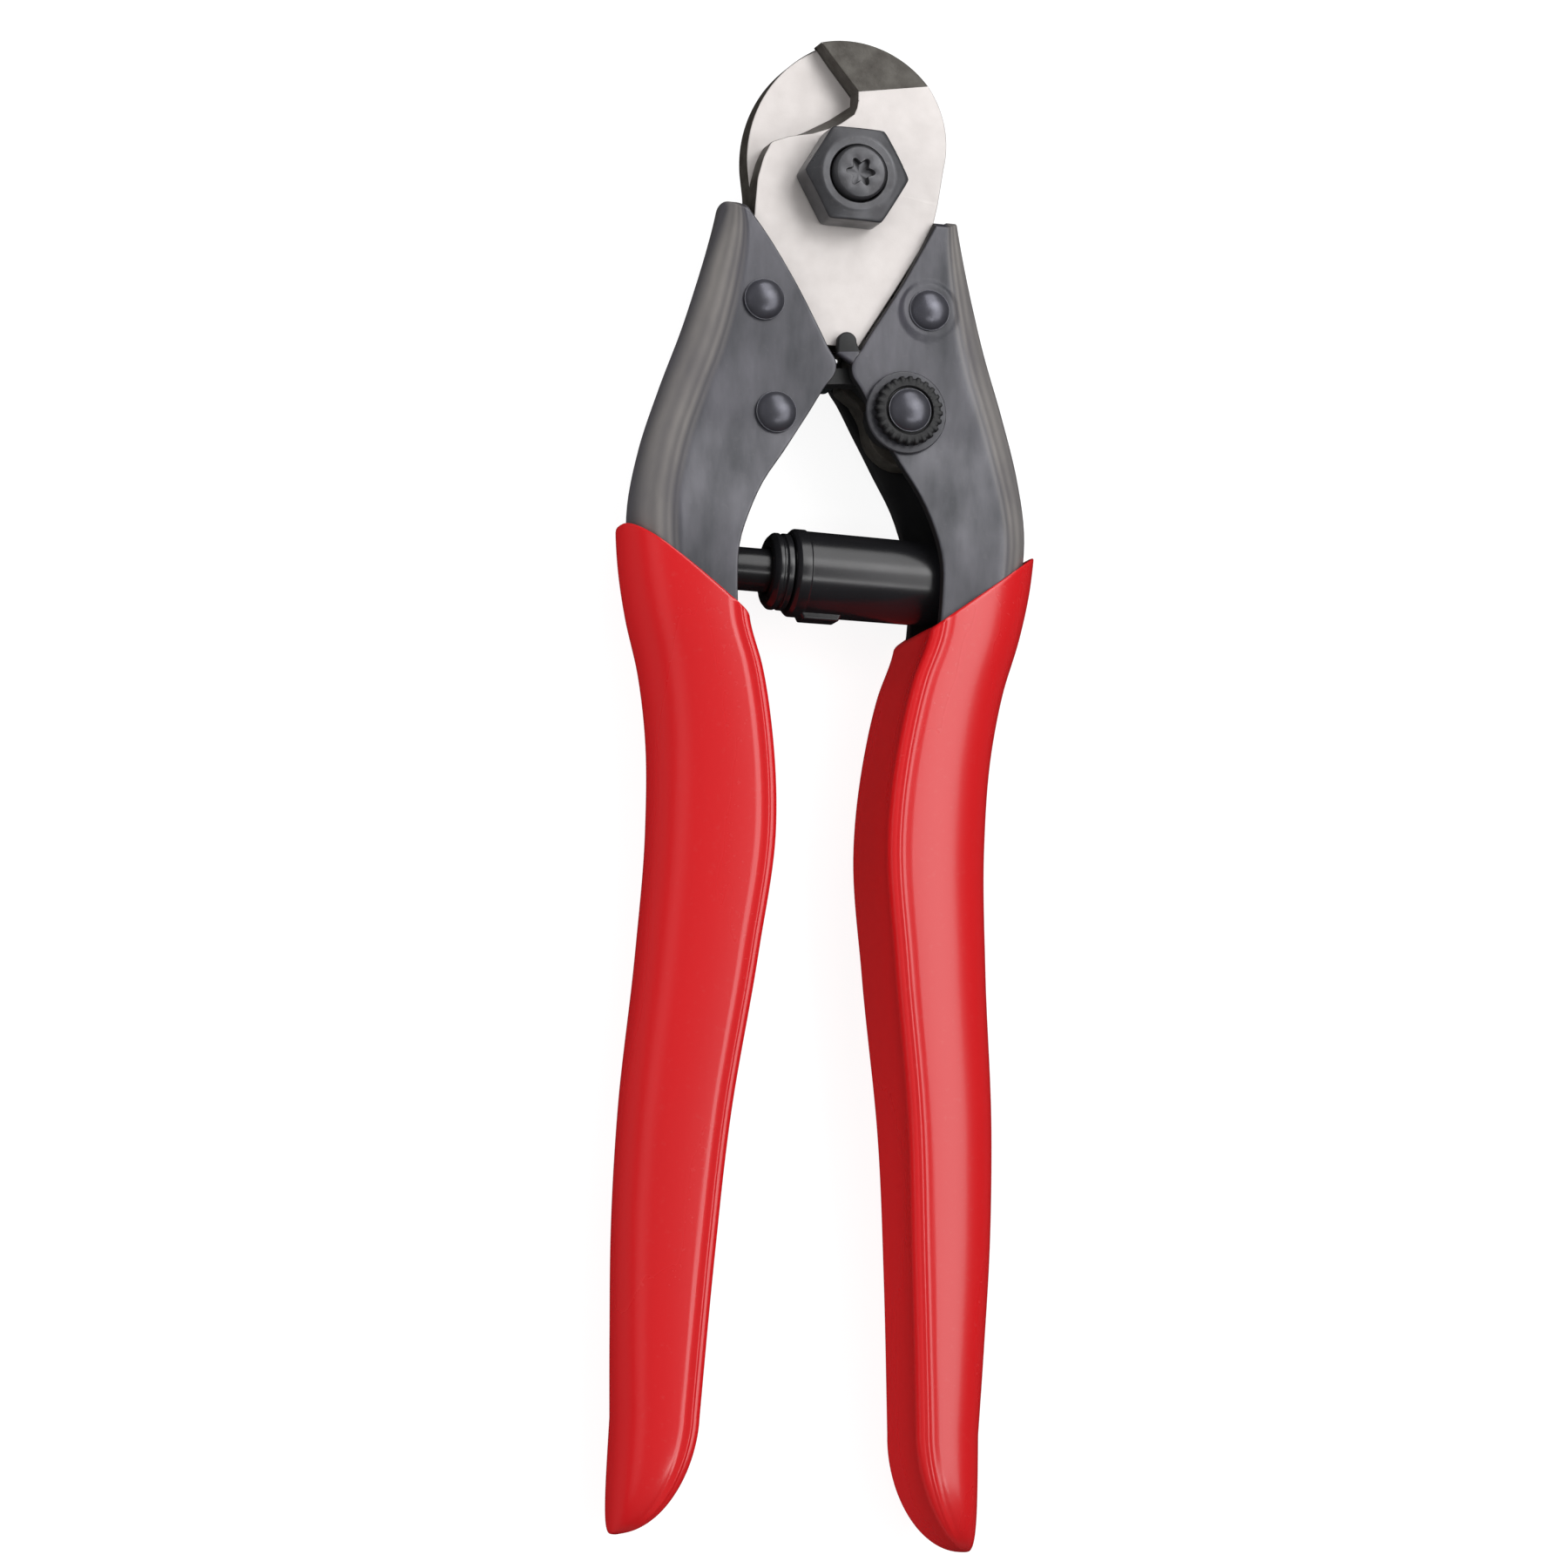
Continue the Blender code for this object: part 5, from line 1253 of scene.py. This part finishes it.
@dataclass
class InnerPieces:
    """The bumper, the spacers and the pieces that keep their CAD shape inside the tool."""

    spacer_r: float = 4.1 * MM
    bumper: tuple = ((-3.0, -26.2), (0.9, -22.7))

    def closing_bumper(self) -> Piece:
        """The pad between the handles' inner corners, rounded where it is pressed."""
        (ax, ay), (bx, by) = self.bumper
        corners = np.array([(ax, ay), (bx, ay), (bx, by), (ax, by)]) * MM
        line = rounded(corners, np.array([0.3, 1.1, 1.1, 0.3]) * MM, 8)
        points, faces = plate(line, -BLADE_FAR + 0.2 * MM, -BLADE_NEAR - 0.2 * MM, 0.35 * MM)
        return weight_normals(solid("closing_bumper_shown", points, faces))

    def round_spacer(self) -> Piece:
        """The ring beside the rear tang, round the right upper rivet."""
        bore = RIVET_R + GAP
        rim, near, far = self.spacer_r, BLADE_NEAR, BLADE_FAR
        corners = [(bore, near), (rim, near), (rim, far), (bore, far)]
        return spun("right_spacer_shown", rounded(corners, 0.2 * MM), 72, UPPER_RIVET[1], ring=True)

    def long_spacer(self) -> Piece:
        """The plate beside the front tang, round both left rivets."""
        upper, lower = UPPER_RIVET[-1], LOWER_RIVET[-1]
        beside = self.bumper[0][0] * MM - GAP
        line = np.vstack([
            arc(upper, self.spacer_r, 200, 20, 36),
            [(beside, self.bumper[1][1] * MM + GAP), (beside, self.bumper[0][1] * MM - GAP)],
            arc(lower, 4.4 * MM, 20, -160, 36),
        ])
        holes = [arc(spot, RIVET_R + GAP, 0, 360, 49)[:-1] for spot in (upper, lower)]
        points, faces = plate(line, -BLADE_FAR, -BLADE_NEAR, 0.2 * MM, holes)
        return weight_normals(solid("left_spacer_shown", points, faces))

    def build(self, nodes: dict[str, Piece]) -> None:
        """Fits the made pieces and dresses the CAD pieces that stay."""
        fit(self.closing_bumper(), "left_half", Look.BLACK_RUBBER)
        fit(self.round_spacer(), "right_half", Look.BRIGHT_STEEL)
        fit(self.long_spacer(), "left_half", Look.BRIGHT_STEEL)
        # The latch hook sits deep in the right handle's channel and gets the near-black painted shade.
        kept = {
            "latch_hook": Look.PAINTED_SHADE, "sleeve_pin": Look.BRIGHT_STEEL,
            "plunger_pin": Look.BRIGHT_STEEL, "compression_spring": Look.SPRING_STEEL,
        }
        for name, look in kept.items():
            dress(nodes[name], look)
            log.info("%s: keeps its CAD shape", name)


@dataclass
class Studio:
    """The pale floor, the soft lights and the camera."""

    aim: tuple = (0.0, -0.077, 0.009)
    eye: tuple = (-0.265571, -0.224607, 0.933845)
    right: tuple = (0.96025909, 0.03553149, 0.27683929)
    up: tuple = (-0.07572245, 0.98782866, 0.13586999)
    back: tuple = (-0.26864212, -0.15143334, 0.95126198)
    lens: float = 177.085
    lamps: tuple = (
        ("key", (0.545, 0.18, 0.82), (0.34, 0.56), 1.68),
        ("back", (0.25, 0.68, 0.69), (0.32, 0.60), 1.7),
        ("front strip", (0.26, -0.30, 0.92), (0.24, 0.07), 0.3),
        ("left fill", (-0.86, 0.1, 0.5), (0.3, 0.5), 1.6),
    )
    lamp_distance: float = 0.6
    sky: float = 0.62
    mirrored_sky: float = 0.11
    floor_glow: float = 0.9

    def floor(self) -> None:
        """A wide pale floor just under the tool, left out of mirror reflections."""
        points = np.array([(-2, -2, 0), (2, -2, 0), (2, 2, 0), (-2, 2, 0)], float) - (0, 0, 0.0002)
        mesh = bpy.data.meshes.new("floor")
        mesh.from_pydata(points.tolist(), [], [(0, 1, 2, 3)])
        obj = bpy.data.objects.new("floor", mesh)
        bpy.context.scene.collection.objects.link(obj)
        made = bpy.data.materials.new("floor")
        made.use_nodes = True
        shader = made.node_tree.nodes["Principled BSDF"]
        shader.inputs["Base Color"].default_value = (0.2, 0.2, 0.2, 1.0)
        shader.inputs["Emission Color"].default_value = (1.0, 1.0, 1.0, 1.0)
        shader.inputs["Emission Strength"].default_value = self.floor_glow
        shader.inputs["Roughness"].default_value = 0.9
        shader.inputs["Specular IOR Level"].default_value = 0.0
        mesh.materials.append(made)
        obj.visible_glossy = False

    def lamp(self, name: str, towards: Sequence[float], size: Sequence[float], power: float) -> None:
        """A rectangular soft light that faces the tool, its sides along X and Y; a fill isn't mirrored."""
        way = Vector(towards).normalized()
        light = bpy.data.lights.new(name, "AREA")
        light.shape = "RECTANGLE"
        light.size, light.size_y = size
        light.energy = power
        obj = bpy.data.objects.new(name, light)
        side = Vector((0, 1, 0)).cross(way).normalized()
        turn = Matrix((side, way.cross(side), way)).transposed().to_4x4()
        obj.matrix_world = Matrix.Translation(Vector(self.aim) + self.lamp_distance * way) @ turn
        obj.visible_glossy = "fill" not in name
        bpy.context.scene.collection.objects.link(obj)

    def world(self) -> None:
        """Even light from above that falls off to dark at the horizon."""
        made = bpy.data.worlds.new("studio")
        bpy.context.scene.world = made
        made.use_nodes = True
        graph = Graph(made.node_tree)
        height = graph.node("SeparateXYZ", {0: graph.node("TexCoord").outputs["Generated"]}).outputs["Z"]
        ramp = graph.node("ValToRGB", {0: height})
        ramp.color_ramp.elements[0].position = 0.1
        ramp.color_ramp.elements[0].color = (0.02, 0.02, 0.02, 1.0)
        ramp.color_ramp.elements[1].position = 0.95
        ramp.color_ramp.elements[1].color = (1.0, 1.0, 1.0, 1.0)
        shade_node = made.node_tree.nodes["Background"]
        made.node_tree.links.new(ramp.outputs[0], shade_node.inputs["Color"])
        glossy = graph.node("LightPath").outputs["Is Glossy Ray"]
        power = graph.maths("MULTIPLY_ADD", glossy, self.mirrored_sky - self.sky, self.sky)
        made.node_tree.links.new(power, shade_node.inputs["Strength"])

    def camera(self) -> None:
        """The camera, looking down on the lying tool."""
        data = bpy.data.cameras.new("camera")
        data.lens, data.sensor_width = self.lens, 36.0
        data.clip_start, data.clip_end = 0.05, 20.0
        obj = bpy.data.objects.new("camera", data)
        turn = Matrix((self.right, self.up, self.back)).transposed().to_4x4()
        obj.matrix_world = Matrix.Translation(self.eye) @ turn
        bpy.context.scene.collection.objects.link(obj)
        bpy.context.scene.camera = obj

    def build(self) -> None:
        """Builds the studio."""
        self.floor()
        for lamp in self.lamps:
            self.lamp(*lamp)
        self.world()
        self.camera()
        bpy.context.scene.view_settings.view_transform = "Standard"


def main() -> None:
    """Builds the tool piece by piece, then the studio."""
    logging.basicConfig(level=logging.INFO, format="%(message)s")
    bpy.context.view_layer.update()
    for front in (True, False):
        Blade(front).build()
    Pivot().build()
    for side in (-1, 1):
        Handle(side).build()
        Grip(side).build()
    rivets = {"left_upper": UPPER_RIVET[-1], "left_lower": LOWER_RIVET[-1], "right_upper": UPPER_RIVET[1]}
    for name, at in rivets.items():
        Rivet(name + "_rivet", at, name.split("_")[0] + "_half").build()
    Latch().build()
    Strut().build()
    InnerPieces().build(frame["nodes"])
    Studio().build()


if __name__ == "__main__":
    main()
